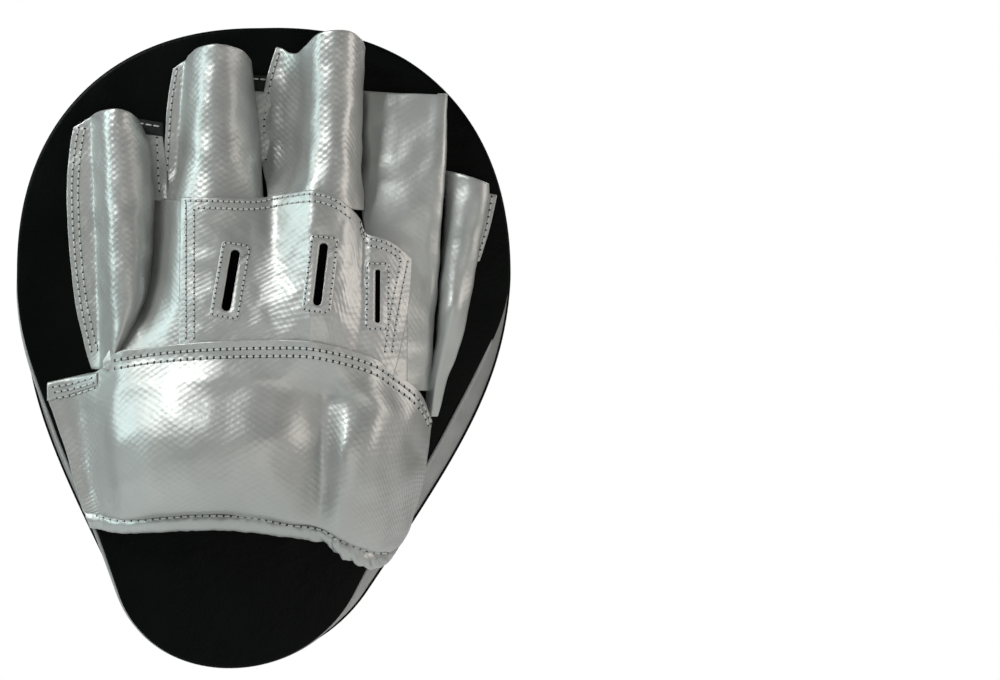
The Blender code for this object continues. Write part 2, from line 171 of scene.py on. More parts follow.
def silver_leather(name, weave=1.0, colour=(0.50, 0.51, 0.495, 1)):
    """Metallic synthetic leather with soft checks embossed in it. Its UV map is in millimetres."""
    n = Nodes(name)
    uv = n.add("ShaderNodeUVMap", uv_map="sheet").outputs["UV"]
    place = n.place()
    wobble = n.add("ShaderNodeTexNoise", {"Vector": uv, "Scale": 0.05, "Detail": 1.0}).outputs["Color"]
    bent = n.add("ShaderNodeVectorMath", {0: wobble, "Scale": 2.4}, operation="SCALE").outputs[0]
    bent = n.add("ShaderNodeVectorMath", {0: uv, 1: bent}, operation="ADD").outputs[0]
    axes = n.add("ShaderNodeSeparateXYZ", {0: bent})
    u = n.math("SINE", n.math("MULTIPLY", axes.outputs["X"], math.pi / CHECK_WIDTH))
    v = n.math("SINE", n.math("MULTIPLY", axes.outputs["Y"], math.pi / CHECK_HEIGHT))
    height = n.math("MULTIPLY", n.math("ADD", n.math("MULTIPLY", u, v), 1.0), 0.5)
    worn = n.ramp(n.noise(place, 28.0, 2.0), 0.35, 0.62, 0.35, 1.0)
    height = n.math("MULTIPLY", height, n.math("MULTIPLY", worn, weave))
    soft = n.noise(place, 95.0, 3.0)
    fine = n.noise(place, 900.0, 2.0)
    normal = n.bump(soft, 0.0008, 0.45)
    normal = n.bump(height, 0.00011, 0.9, normal)
    normal = n.bump(fine, 0.00006, 0.6, normal)
    mottle = n.ramp(n.noise(place, 14.0, 4.0), 0.3, 0.7)
    dark = (colour[0] * 0.84, colour[1] * 0.86, colour[2] * 0.85, 1)
    base = n.blend(mottle, dark, colour)
    # Painted shade: the base colour darkens towards the hollows' shade colour where the checks are low, and
    # where they are worn flat
    hollow_shade = n.math("MULTIPLY", n.math("SUBTRACT", 1.0, height), 0.12 * weave)
    base = n.blend(hollow_shade, base, CHECK_HOLLOW_SHADE)
    rough = n.ramp(n.noise(place, 60.0, 3.0), 0.3, 0.7, 0.38, 0.48)
    return n.set(Base_Color=base, Metallic=0.6, Roughness=rough, Normal=normal)


def black_leather(name):
    """Pebbled synthetic leather, nearly black, with little shine."""
    n = Nodes(name)
    place = n.place()
    grain = n.add("ShaderNodeTexVoronoi", {"Vector": place, "Scale": 900.0}, feature="F1").outputs["Distance"]
    soft = n.noise(place, 60.0, 3.0)
    fine = n.noise(place, 1500.0, 2.0)
    normal = n.bump(soft, 0.0012, 0.5)
    normal = n.bump(grain, 0.00012, 0.5, normal)
    normal = n.bump(fine, 0.00004, 0.6, normal)
    mottle = n.ramp(n.noise(place, 18.0, 4.0), 0.35, 0.65)
    tone = n.blend(mottle, (0.0002, 0.0008, 0.0005, 1), (0.0006, 0.0018, 0.0012, 1))
    rough = n.ramp(n.noise(place, 35.0, 4.0), 0.3, 0.7, 0.34, 0.48)
    return n.set(Base_Color=tone, Roughness=rough, Specular_IOR_Level=0.08, Normal=normal)


def woven(name, colour, scale=1400.0):
    """Plain woven cloth with a little fuzz, for linings and the leather's back."""
    n = Nodes(name)
    place = n.place()
    axes = n.add("ShaderNodeSeparateXYZ", {0: place})
    warp = n.math("SINE", n.math("MULTIPLY", axes.outputs["X"], scale * 4))
    weft = n.math("SINE", n.math("MULTIPLY", axes.outputs["Z"], scale * 4))
    height = n.math("MULTIPLY", warp, weft)
    fuzz = n.noise(place, 700.0, 3.0)
    light = toned(colour, 1.7)
    tone = n.blend(n.ramp(n.math("ADD", height, fuzz), 0.0, 1.5), colour, light)
    rough = n.ramp(fuzz, 0.3, 0.7, 0.75, 0.95)
    return n.set(Base_Color=tone, Roughness=rough, Normal=n.bump(height, 0.0001, 0.7))


def printed_vinyl(name):
    """The white target's print, with fine specks of wear."""
    n = Nodes(name)
    place = n.place()
    mottle = n.ramp(n.noise(place, 40.0, 5.0), 0.3, 0.7)
    specks = n.ramp(n.noise(place, 1300.0, 3.0, 0.7), 0.66, 0.72)
    tone = n.blend(mottle, (0.66, 0.68, 0.63, 1), (0.72, 0.735, 0.69, 1))
    tone = n.blend(specks, tone, (0.5, 0.52, 0.49, 1))
    grain = n.noise(place, 1000.0, 3.0)
    rough = n.ramp(mottle, 0.0, 1.0, 0.5, 0.62)
    return n.set(Base_Color=tone, Roughness=rough, Normal=n.bump(grain, 0.00006, 0.6))


def painted_hole_shade(name, colour):
    """Painted shade for a needle hole: a dark rough disc that stands for the shadow in the hole."""
    n = Nodes(name)
    place = n.place()
    cells = n.add("ShaderNodeTexVoronoi", {"Vector": place, "Scale": 1100.0}).outputs["Distance"]
    tone = n.blend(n.ramp(cells, 0.0, 0.6), colour, toned(colour, 0.6))
    rough = n.ramp(cells, 0.0, 0.6, 0.8, 0.95)
    return n.set(Base_Color=tone, Roughness=rough, Normal=n.bump(cells, 0.0002, 0.6))


def thread(name, colour):
    n = Nodes(name)
    place = n.place()
    ply = n.noise(place, 2500.0, 2.0)
    tone = n.blend(n.ramp(ply, 0.3, 0.7), toned(colour, 0.6), colour)
    rough = n.ramp(ply, 0.3, 0.7, 0.45, 0.7)
    return n.set(Base_Color=tone, Roughness=rough, Normal=n.bump(ply, 0.0001, 0.6))


SILVER = silver_leather("silver_leather")
SILVER_SMOOTH = silver_leather("silver_leather_smooth", 0.35, (0.47, 0.49, 0.475, 1))
# Painted shade: a darker copy of the silver leather, for the side gusset that stands in shade
SILVER_SHADED = silver_leather("silver_leather_shaded", 0.6, (0.33, 0.335, 0.325, 1))
BLACK = black_leather("black_leather")
LINING = woven("black_lining", (0.006, 0.008, 0.007, 1))
BACKING = woven("grey_backing", (0.16, 0.17, 0.165, 1), 900.0)
CUT_EDGE = thread("cut_edge", (0.50, 0.53, 0.51, 1))
VINYL = printed_vinyl("white_vinyl")
PIPING = thread("grey_piping", (0.36, 0.38, 0.37, 1))
THREAD = thread("silver_thread", (0.60, 0.64, 0.62, 1))
# Painted shade: near-black discs laid on the needle holes
HOLE_SHADE = painted_hole_shade("needle_hole_shade", (0.010, 0.016, 0.014, 1))

# ---------------------------------------------------------------- surfaces


def spline(points, count):
    """count points on a smooth curve through points, along the first axis."""
    points = np.asarray(points, float)
    padded = np.concatenate([2 * points[:1] - points[1:2], points, 2 * points[-1:] - points[-2:-1]])
    where = np.linspace(0, len(points) - 1, count)
    first = np.minimum(where.astype(int), len(points) - 2)
    t = (where - first).reshape((-1,) + (1,) * (points.ndim - 1))
    a, b, c, d = (padded[first + k] for k in range(4))
    return 0.5 * (2 * b + (c - a) * t + (2 * a - 5 * b + 4 * c - d) * t**2 + (3 * b - a - 3 * c + d) * t**3)


def smooth_grid(rows, down, across):
    """The rows as a smooth grid of down rows and across columns."""
    return spline(spline(rows, down).transpose(1, 0, 2), across).transpose(1, 0, 2)


def distances(line):
    """How far each point of a line is along it."""
    return np.concatenate([[0], np.cumsum(np.linalg.norm(np.diff(line, axis=0), axis=1))])


def points_along(line, along, wanted):
    return np.stack([np.interp(wanted, along, column) for column in line.T], axis=1)


def even_rows(grid, count):
    """The grid with its rows spaced evenly along its middle column."""
    along = distances(grid[:, grid.shape[1] // 2])
    wanted = np.linspace(0, along[-1], count)
    even = points_along(grid.reshape(len(grid), -1), along, wanted)
    return even.reshape((count,) + grid.shape[1:])


def placed(rows):
    """Real points from rows of (x, z, y), each as it is seen on the pattern."""
    return np.array([[at(*point) for point in row] for row in rows])


def pattern_grid(rows, across, down):
    return placed(even_rows(smooth_grid(rows, down * 2, across), down))


def rumple(grid, amount, size, seed):
    """Soft unevenness of the leather, along the grid's normals."""
    normals = grid_normals(grid)
    out = grid.copy()
    for i, j in np.ndindex(grid.shape[:2]):
        lift = noise.noise(Vector(grid[i, j]) / size + Vector((seed * 7.3, seed * 3.1, seed * 5.7)))
        out[i, j] += normals[i, j] * lift * amount
    return out


def grid_normals(grid):
    across = np.gradient(grid, axis=1)
    along = np.gradient(grid, axis=0)
    normals = np.cross(along, across)
    length = np.linalg.norm(normals, axis=2, keepdims=True)
    return normals / np.maximum(length, 1e-9)


def mesh_from(name, points, faces, materials):
    mesh = bpy.data.meshes.new(name)
    mesh.from_pydata((np.asarray(points) * MM).tolist(), [], faces)
    for m in materials:
        mesh.materials.append(m)
    mesh.shade_smooth()
    thing = bpy.data.objects.new(name, mesh)
    bpy.context.scene.collection.objects.link(thing)
    return thing


def grid_faces(rows, columns, closed=False):
    last = columns if closed else columns - 1
    faces = []
    for i in range(rows - 1):
        for j in range(last):
            k = (j + 1) % columns
            faces.append((i * columns + j, (i + 1) * columns + j, (i + 1) * columns + k, i * columns + k))
    return faces


def run_lengths(grid, axis):
    """Distance along the grid's rows (axis 1) or columns (axis 0) from its first point."""
    steps = np.linalg.norm(np.diff(grid, axis=axis), axis=2)
    first = np.zeros_like(steps[:, :1] if axis else steps[:1])
    return np.concatenate([first, np.cumsum(steps, axis=axis)], axis=axis)


def flat_uv(thing):
    """A UV map in millimetres straight from the front."""
    layer = thing.data.uv_layers["sheet"]
    for loop in thing.data.loops:
        place = thing.data.vertices[loop.vertex_index].co / MM
        layer.uv[loop.index].vector = (place.x, -place.z)


def give_uv(thing, grid, closed=False):
    """A UV map in millimetres along the grid's rows and columns, measured from its middle."""
    rows, columns = grid.shape[:2]
    if closed:
        grid = np.concatenate([grid, grid[:, :1]], axis=1)
    u = run_lengths(grid, 1)
    u = u if closed else u - u[:, columns // 2 : columns // 2 + 1]
    v = run_lengths(grid, 0)
    layer = thing.data.uv_layers.new(name="sheet")
    for face in thing.data.polygons:
        cells = [divmod(thing.data.loops[k].vertex_index, columns) for k in face.loop_indices]
        wraps = closed and {0, columns - 1} <= {j for _, j in cells}
        for k, (i, j) in zip(face.loop_indices, cells):
            j = columns if wraps and j == 0 else j
            layer.uv[k].vector = (u[i, j], v[i, j])


def apply_modifiers(thing):
    graph = bpy.context.evaluated_depsgraph_get()
    mesh = bpy.data.meshes.new_from_object(thing.evaluated_get(graph))
    thing.modifiers.clear()
    thing.data = mesh
    thing.data.shade_smooth()
    return thing


def leather_sheet(name, grid, skin=SILVER, thickness=LEATHER, levels=1):
    """A sheet of leather with its face on the grid, a woven back and rounded cut edges."""
    rows, columns = grid.shape[:2]
    thing = mesh_from(name, grid.reshape(-1, 3), grid_faces(rows, columns), [skin, BACKING, CUT_EDGE])
    give_uv(thing, grid)
    solid = thing.modifiers.new("thickness", "SOLIDIFY")
    solid.thickness = thickness * MM
    solid.offset = -1
    solid.material_offset = 1
    solid.material_offset_rim = 2
    if levels:
        smooth = thing.modifiers.new("rounding", "SUBSURF")
        smooth.levels = smooth.render_levels = levels
    return apply_modifiers(thing)


def cloth_sheet(name, grid):
    thing = leather_sheet(name, grid, LINING, CLOTH, 0)
    for k in range(len(thing.data.materials)):
        thing.data.materials[k] = LINING
    return thing


def weld(thing, fill=False):
    """Joins points that coincide, fills open ends if asked, and turns the faces outwards."""
    shape = bmesh.new()
    shape.from_mesh(thing.data)
    bmesh.ops.remove_doubles(shape, verts=shape.verts, dist=WELD)
    if fill:
        bmesh.ops.holes_fill(shape, edges=shape.edges)
    bmesh.ops.recalc_face_normals(shape, faces=shape.faces)
    shape.to_mesh(thing.data)
    shape.free()


def tree_of(*things):
    points, faces = [], []
    for thing in things:
        start = len(points)
        points += [thing.matrix_world @ v.co / MM for v in thing.data.vertices]
        faces += [[start + v for v in face.vertices] for face in thing.data.polygons]
    return BVHTree.FromPolygons(points, faces)


def seen_point(tree, x, z):
    """Where the eye's line through the pattern meets a surface, and its normal."""
    line = (Vector(at(x, z, PATTERN_Y)) - EYE).normalized()
    place, normal, _, _ = tree.ray_cast(EYE, line)
    if place is None:
        return None
    return place, normal if normal.dot(line) < 0 else -normal


# ---------------------------------------------------------------- stitches


def evenly(points, pitch, smooth=True):
    """Points a pitch apart along a polyline, which is smoothed first."""
    fine = spline(points, len(points) * 16) if smooth else np.asarray(points, float)
    along = distances(fine)
    count = max(int(round(along[-1] / pitch)), 1)
    return points_along(fine, along, np.linspace(0, along[-1], count + 1))


CAPSULE_SIDES = 8
# Share of the length, and of the width
CAPSULE_RINGS = ((-0.5, 0), (-0.46, 0.55), (-0.3, 0.92), (0, 1), (0.3, 0.92), (0.46, 0.55), (0.5, 0))
CAPSULE_TIP = 0.05  # of its width, at both ends
LONGEST_STITCH = 9.0
HOLE_DEPTH = 0.36
HOLE_SPREAD = 1.5


def stitches(name, ends, thread_width=0.75, hole=0.55, sag=0.25, slack=0.80):
    """Threads between neighbouring needle holes, as one mesh. ends are (place, normal) pairs."""
    points, faces, marks = [], [], []

    def ball(centre, along, up, length, width, height, mark):
        side = along.cross(up).normalized()
        start = len(points)
        for t, swell in CAPSULE_RINGS:
            for k in range(CAPSULE_SIDES):
                angle = 2 * math.pi * k / CAPSULE_SIDES
                offset = side * math.cos(angle) * width / 2 + up * math.sin(angle) * height / 2
                points.append(centre + along * (t * length) + offset * max(swell, CAPSULE_TIP))
        for r in range(len(CAPSULE_RINGS) - 1):
            for k in range(CAPSULE_SIDES):
                m = (k + 1) % CAPSULE_SIDES
                low, high = start + r * CAPSULE_SIDES, start + (r + 1) * CAPSULE_SIDES
                faces.append((low + k, low + m, high + m, high + k))
                marks.append(mark)
        faces.append([start + k for k in reversed(range(CAPSULE_SIDES))])
        faces.append([start + (len(CAPSULE_RINGS) - 1) * CAPSULE_SIDES + k for k in range(CAPSULE_SIDES)])
        marks.extend((mark, mark))

    for (a, up_a), (b, up_b) in zip(ends, ends[1:]):
        span = b - a
        if span.length > LONGEST_STITCH:
            continue
        along, up = span.normalized(), (up_a + up_b).normalized()
        up = (up - along * up.dot(along)).normalized()
        centre = (a + b) / 2 + up * (thread_width / 2 - sag)
        ball(centre, along, up, span.length * slack, thread_width, thread_width, 0)
    # A dark disc of painted shade sits on each needle hole
    for place, up in ends:
        side = up.orthogonal().normalized()
        ball(place, side, up, hole * HOLE_SPREAD, hole * HOLE_SPREAD, HOLE_DEPTH, 1)
    thing = mesh_from(name, points, faces, [THREAD, HOLE_SHADE])
    for face, mark in zip(thing.data.polygons, marks):
        face.material_index = mark
    return thing


def seam(name, tree, lines, pitch, smooth=True, **look):
    """One mesh of stitches along each line of (x, z) on the pattern, laid on the surfaces in tree."""
    made = []
    for number, line in enumerate(lines):
        found = [seen_point(tree, x, z) for x, z in evenly(line, pitch, smooth)]
        ends = [end for end in found if end]
        if len(ends) > 1:
            made.append(stitches(f"{name}_{number}", ends, **look))
    bpy.ops.object.select_all(action="DESELECT")
    for thing in made:
        thing.select_set(True)
    bpy.context.view_layer.objects.active = made[0]
    if len(made) > 1:
        bpy.ops.object.join()
    made[0].name = name
    return made[0]


def beside(line, distance):
    """The line moved sideways, to its left as it runs."""
    line = np.asarray(line, float)
    run = np.gradient(line, axis=0)
    run /= np.linalg.norm(run, axis=1, keepdims=True)
    return line + np.stack([-run[:, 1], run[:, 0]], axis=1) * distance


def ride(thing, slot, *nodes, body="root"):
    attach(thing, body)
    if nodes:
        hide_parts(*nodes)
    return thing


# ---------------------------------------------------------------- pad

TOP_STEPS = 60
TAPER_STEPS = 40
ARC_STEPS = 30


def side_points():
    """Points (half width, z) down one side of the pad's outline: a superellipse, a taper and an arc."""
    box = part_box("face_cover")
    half, top, bottom = box[1][0] / MM, box[1][2] / MM, box[0][2] / MM
    points = []
    for i in range(TOP_STEPS + 1):
        angle = math.pi / 2 * (1 - i / TOP_STEPS)
        width = half * math.cos(angle) ** (2 / TOP_EXPONENT) if i else 0.0
        points.append((width, WIDEST_Z + (top - WIDEST_Z) * math.sin(angle) ** (2 / TOP_EXPONENT)))
    arc_centre = bottom + BOTTOM_RADIUS
    down = Vector((-math.sin(TAPER_ANGLE), -math.cos(TAPER_ANGLE)))
    start = Vector((half, WIDEST_Z))
    end = Vector((0, arc_centre)) + BOTTOM_RADIUS * Vector((math.cos(TAPER_ANGLE), -math.sin(TAPER_ANGLE)))
    curve = (start, start + Vector((0, -TAPER_REACH_TOP)), end - down * TAPER_REACH_BOTTOM, end)
    for i in range(1, TAPER_STEPS + 1):
        t = i / TAPER_STEPS
        weights = ((1 - t) ** 3, 3 * (1 - t) ** 2 * t, 3 * (1 - t) * t**2, t**3)
        points.append(tuple(sum((w * p for w, p in zip(weights, curve)), Vector((0, 0)))))
    for i in range(1, ARC_STEPS + 1):
        angle = TAPER_ANGLE + (math.pi / 2 - TAPER_ANGLE) * i / ARC_STEPS
        points.append((BOTTOM_RADIUS * math.cos(angle), arc_centre - BOTTOM_RADIUS * math.sin(angle)))
    points[-1] = (0.0, bottom)
    return points


def pad_outline(count=300):
    """The pad's widest closed outline, evenly spaced, from the top and towards the thumb."""
    side = side_points()
    bottom = side[-1][1]

    def lean(z):
        return BOTTOM_LEAN * (min(z - WIDEST_Z, 0) / (bottom - WIDEST_Z)) ** LEAN_EXPONENT

    loop = [(w + lean(z), z) for w, z in side] + [(lean(z) - w, z) for w, z in side[-2:0:-1]]
    loop = np.array(loop + loop[:1])
    along = distances(loop)
    return points_along(loop, along, np.linspace(0, along[-1], count, endpoint=False))


def narrowed(loop, share=1.0, extra=0.0):
    """The outline moved in as far as the back panel's edge, which is furthest in beside the cuff."""

    def step(start, end):
        t = np.clip((start - loop[:, 1]) / (start - end), 0, 1)
        return t * t * (3 - 2 * t)

    inset = BACK_INSET_TOP + (BACK_INSET_SIDE - BACK_INSET_TOP) * step(INSET_START_Z, INSET_END_Z)
    inset = inset - (BACK_INSET_SIDE - BACK_INSET_BOTTOM) * step(HEEL_START_Z, HEEL_END_Z)
    return moved_in(loop, (inset * share + extra)[:, None])


def moved_in(loop, distance):
    run = np.roll(loop, -1, axis=0) - np.roll(loop, 1, axis=0)
    run /= np.linalg.norm(run, axis=1, keepdims=True)
    return loop + np.stack([run[:, 1], -run[:, 0]], axis=1) * distance


def ring_grid(rings):
    return np.array([[(x, y, z) for x, z in loop] for loop, y in rings])


def closed_surface(name, grid, materials, cap=False):
    rows, columns = grid.shape[:2]
    faces = grid_faces(rows, columns, closed=True)
    points = grid.reshape(-1, 3).tolist()
    if cap:
        points.append(grid[-1].mean(axis=0).tolist())
        base = (rows - 1) * columns
        faces += [(base + k, len(points) - 1, base + (k + 1) % columns) for k in range(columns)]
    return mesh_from(name, points, faces, materials)


def fill_in(rings, steps, depth_at):
    """Adds rings that shrink to the middle, each at the depth that depth_at gives for its share."""
    last = rings[-1][0]
    centre = last.mean(axis=0)
    for i in range(1, steps):
        share = 1 - i / steps
        rings.append((centre + (last - centre) * share, depth_at(share)))


def round_noise(j, count, size, height):
    """Noise that meets itself round a loop of count points."""
    angle = 2 * math.pi * j / count
    return noise.noise(Vector((math.cos(angle) * size, math.sin(angle) * size, height)))


PAD_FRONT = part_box("face_cover")[1][1] / MM
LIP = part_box("face_cover")[0][1] / MM
WIDE_LOOP = pad_outline()
BACK_LOOP = narrowed(WIDE_LOOP)
RIM = (0.3 + 1.9 * np.clip(WIDE_LOOP[:, 0] / 60, 0, 1)) * np.clip((WIDE_LOOP[:, 1] + 10) / 40, 0, 1)
BACK_EDGE = moved_in(BACK_LOOP, -RIM[:, None])  # the panel's own edge, over the gusset at the upper right
COVER_LIP = ((1.4, 0.8), (0.9, -0.2), (0.0, 0.3))  # insets and depths where it turns in over the gusset
EDGE_ROUND = 15.0
EDGE_STEPS = 12
CROWN = 1.6
FACE_STEPS = 22
FIRST_PUCKER, LAST_PUCKER = 3, 13  # the rings that the cover's puckers cross, deepest at the first
PUCKER = 0.5
GUSSET_STEPS = 12
GUSSET_BULGE = 0.3
GUSSET_RIPPLE = 0.7
BACK_DISH = 0.9
BACK_STEPS = 24
PIPING_RADIUS = 0.8


def make_cover():
    count = len(WIDE_LOOP)
    rings = [(moved_in(WIDE_LOOP, inset), LIP + y) for inset, y in COVER_LIP]
    for y in (LIP + 1.2, LIP + 2.2):
        rings.append((moved_in(WIDE_LOOP, 0.1 * (y - LIP)), y))
    for i in range(1, EDGE_STEPS + 1):
        angle = math.pi / 2 * i / EDGE_STEPS
        inset = 0.2 + EDGE_ROUND * (1 - math.cos(angle))
        rings.append((moved_in(WIDE_LOOP, inset), PAD_FRONT - EDGE_ROUND * (1 - math.sin(angle))))
    fill_in(rings, FACE_STEPS, lambda share: PAD_FRONT + CROWN * (1 - share**2))
    grid = ring_grid(rings)
    for i in range(FIRST_PUCKER, LAST_PUCKER + 1):
        pucker = math.exp(-((i - FIRST_PUCKER) ** 2) / 9)
        for j in range(count):
            grid[i, j, 1] += round_noise(j, count, 14, 0.5) * PUCKER * pucker
    cover = closed_surface("face_cover_leather", grid, [BLACK], cap=True)
    ride(cover, "black_leather", "face_cover", "face_foam", "core_foam", "backing_board")


def make_gusset():
    """The silver band between the cover and the back, with soft ripples that fade towards the top."""
    count = len(WIDE_LOOP)
    back = moved_in(BACK_EDGE, 0.3)
    front = moved_in(WIDE_LOOP, 0.9)
    rings = []
    for i in range(GUSSET_STEPS + 1):
        t = i / GUSSET_STEPS
        bulge = GUSSET_BULGE * math.sin(math.pi * t)
        loop = back * (1 - t) + front * t
        rings.append((moved_in(loop, -bulge), 1.4 + (LIP - 1.2) * t))
    grid = ring_grid(rings)
    for i in range(GUSSET_STEPS + 1):
        t = i / GUSSET_STEPS
        for j in range(count):
            ripple = round_noise(j, count, 16, t * 1.5)
            out = np.array([grid[i, j, 0], 0, grid[i, j, 2] - 10])
            wave = GUSSET_RIPPLE * ripple * float(np.clip((20 - grid[i, j, 2]) / 30, 0.1, 1))
            grid[i, j] += out / np.linalg.norm(out) * wave * math.sin(math.pi * t)
    # the gusset wears the darker copy of the silver, with its shade painted in
    gusset = closed_surface("side_gusset_leather", grid, [SILVER_SHADED])
    give_uv(gusset, grid, closed=True)
    ride(gusset, "silver_leather", "side_gusset")


def make_back_panel():
    rings = []
    for inset, y in ((0.0, 1.6), (-0.1, 0.8), (0.5, 0.1), (1.5, 0.0)):
        rings.append((moved_in(BACK_EDGE, inset), y))
    fill_in(rings, BACK_STEPS, lambda share: -BACK_DISH * (1 - share**4))
    grid = ring_grid(rings)[:, ::-1]
    panel = closed_surface("back_panel_leather", grid, [BLACK], cap=True)
    ride(panel, "black_leather", "back_panel")


def make_piping():
    loop = narrowed(WIDE_LOOP, 0.76, 1.2)
    piping = tube("back_piping_cord", [(x, 0.9, z) for x, z in loop], PIPING_RADIUS, PIPING)
    ride(piping, "grey_piping", "back_piping")


def tube(name, points, radius, skin, sides=10):
    """A closed loop of cord."""
    points = np.asarray(points, float)
    run = np.roll(points, -1, axis=0) - np.roll(points, 1, axis=0)
    run /= np.linalg.norm(run, axis=1, keepdims=True)
    ring = []
    for point, along in zip(points, run):
        side = np.cross(along, (0, 1, 0))
        side /= np.linalg.norm(side)
        up = np.cross(side, along)
        angles = [2 * math.pi * k / sides for k in range(sides)]
        ring.append([point + radius * (side * math.cos(a) + up * math.sin(a)) for a in angles])
    grid = np.array(ring)
    grid = np.concatenate([grid, grid[:1]])
    faces = grid_faces(len(grid), sides, closed=True)
    thing = mesh_from(name, grid.reshape(-1, 3), faces, [skin])
    weld(thing, fill=True)
    thing.data.shade_smooth()
    return thing


DOT_SIDES = 128
DOT_LIFT = 0.38
DOT_STEPS = 16
DOT_CLEAR = 60.0  # in front of the pad, where the rays that find its face start
DOT_EDGE = ((1.0, -0.5), (1.0, 0.15), (0.992, 0.32), (0.97, DOT_LIFT))  # share of the radius, and lift


def make_dot():
    """The white target, on the strike face's crown."""
    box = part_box("target_dot")
    middle = [(a + b) / 2 / MM for a, b in zip(*box)]
    radius = (box[1][0] - box[0][0]) / 2 / MM
    inner = tuple((s / DOT_STEPS, DOT_LIFT) for s in range(DOT_STEPS - 1, 0, -1))
    tree = tree_of(bpy.data.objects["face_cover_leather"])
    grid = []
    for share, lift in DOT_EDGE + inner:
        reach = share * radius
        row = []
        for k in range(DOT_SIDES):
            angle = 2 * math.pi * k / DOT_SIDES
            x, z = middle[0] + reach * math.sin(angle), middle[2] + reach * math.cos(angle)
            hit = tree.ray_cast(Vector((x, PAD_FRONT + DOT_CLEAR, z)), Vector((0, -1, 0)))[0]
            row.append((x, hit.y + lift, z))
        grid.append(row)
    dot = closed_surface("target_dot_print", np.array(grid), [VINYL], cap=True)
    ride(dot, "white_vinyl", "target_dot")


# ---------------------------------------------------------------- glove

# Every stall is a row of points for each height, from its stitched edge on the little finger's side, over
# the crest, and under on the thumb's side. A row is given as its places across, heights and depths.
FLANGE_DEPTH = -3.0


def free_row(across, heights, depths):
    return list(zip(across, heights, depths))


def level_row(z, across, depths):
    """A row at one height of the real glove, which is given as it is seen at FLANGE_DEPTH."""
    row = []
    for x, y in zip(across, depths):
        share = (y - EYE.y) / (FLANGE_DEPTH - EYE.y)
        row.append((x, EYE.z + (z - EYE.z) / share, y))
    return row


PINKY_ROWS = [
    free_row((-80.2, -76.6, -73, -71, -67, -62, -57, -53.4, -52, -52.6),
        (93, 95, 97.4, 99, 100.3, 100.8, 99.6, 97.2, 95.4, 94.6),
        (-3, -3.3, -4.5, -10, -17.5, -19.5, -16.5, -10.5, -5, -2.2)),
    level_row(85, (-81.6, -77, -72.2, -70.2, -66.3, -61, -54, -49.8, -48.2, -50),
        (-3, -3.2, -3.8, -10, -18.5, -20.5, -17, -10.5, -5, -2.2)),
    level_row(70, (-83.0, -77, -71.6, -69.6, -65.8, -60, -52.5, -47.9, -46.4, -48),
        (-3, -3.2, -3.8, -11, -19.5, -21.5, -18, -11, -5.5, -2.2)),
    level_row(55, (-82.8, -77, -70.9, -68.9, -65, -59.5, -52.2, -47.6, -46.3, -47.5),
        (-3, -3.2, -3.8, -12, -20.5, -22.5, -19.5, -12.5, -6, -2.2)),
    level_row(42, (-82.0, -76.5, -70.5, -68.6, -64.6, -59, -52.5, -48, -46.8, -47.8),
        (-3, -3.2, -3.8, -12, -21, -23.5, -21, -14, -7, -2.4)),
    level_row(30, (-80.9, -75.5, -70.2, -68.2, -64.3, -59, -53.5, -49.4, -47.6, -48.5),
        (-3, -3.3, -4.2, -12, -21, -24, -22.5, -16.5, -9, -3)),
    level_row(18, (-79.3, -74.5, -69.7, -67.8, -64.2, -60, -55.6, -52.2, -50.6, -51),
        (-3, -3.4, -4.6, -12, -20.5, -23.5, -23.4, -20, -15, -9)),
    level_row(7, (-77.0, -73.2, -69.4, -67.2, -64.4, -62.0, -59.8, -57.8, -56.4, -55.6),
        (-3, -3.6, -5, -12, -19.5, -22.6, -23.2, -21.8, -19.4, -16)),
    level_row(-2, (-74.8, -72.4, -69, -67, -65, -63.8, -62.9, -62, -61.2, -60.2),
        (-3, -4, -6, -12, -18, -20.5, -21.2, -20.8, -20, -18.5)),
    level_row(-9, (-72.5, -71.2, -69.3, -67.8, -66.6, -65.6, -64.9, -64.3, -63.8, -63.2),
        (-3, -4.6, -7, -10, -13, -15, -16, -16.4, -16.4, -16.0)),
]
RING_ROWS = [
    free_row((-38.4, -35.6, -32.8, -31.6, -28.6, -25, -20.5, -14.6, -9.6, -6.2, -5.0, -6),
        (117.4, 119.4, 121.4, 123.4, 126, 127.3, 127.9, 127.2, 125.4, 122.6, 120.6, 119.6),
        (-3, -3.2, -4.2, -9, -16, -21, -23, -21.5, -17, -11, -6, -2.4)),
    level_row(104, (-40.6, -37.6, -34.6, -33.3, -30.8, -26.6, -20.8, -14.4, -8.6, -4.6, -3.4, -5),
        (-3, -3.2, -3.8, -9.5, -17, -22.5, -24.5, -22.5, -17.5, -11, -6, -2.4)),
    level_row(88, (-41.8, -38.6, -35.4, -34.2, -31.6, -27.2, -21.2, -14, -7.4, -3.0, -1.8, -3.6),
        (-3, -3.2, -3.8, -10, -18, -24, -26, -24, -18.5, -11.5, -6, -2.4)),
    level_row(74, (-42.6, -39.4, -36.3, -35, -32.8, -28, -21.6, -14, -7, -2.4, -1.0, -2.6),
        (-3, -3.4, -5, -11.5, -19.5, -25.5, -27.4, -25.8, -21, -13.5, -7, -2.4)),
    level_row(64, (-42.6, -40.6, -38.2, -36.4, -33.4, -28.4, -22, -14, -6.6, -1.6, 0.2, -1),
        (-4, -7, -12, -18, -23.6, -27, -28.2, -27, -23.6, -18, -12, -6)),
    level_row(57, (-42.2, -40.4, -38.4, -36.4, -33.4, -28.4, -22, -14, -6.6, -1.4, 0.8, 0),
        (-5, -9, -14, -19.5, -25, -28.6, -29.6, -28.6, -26, -22, -17, -12)),
]
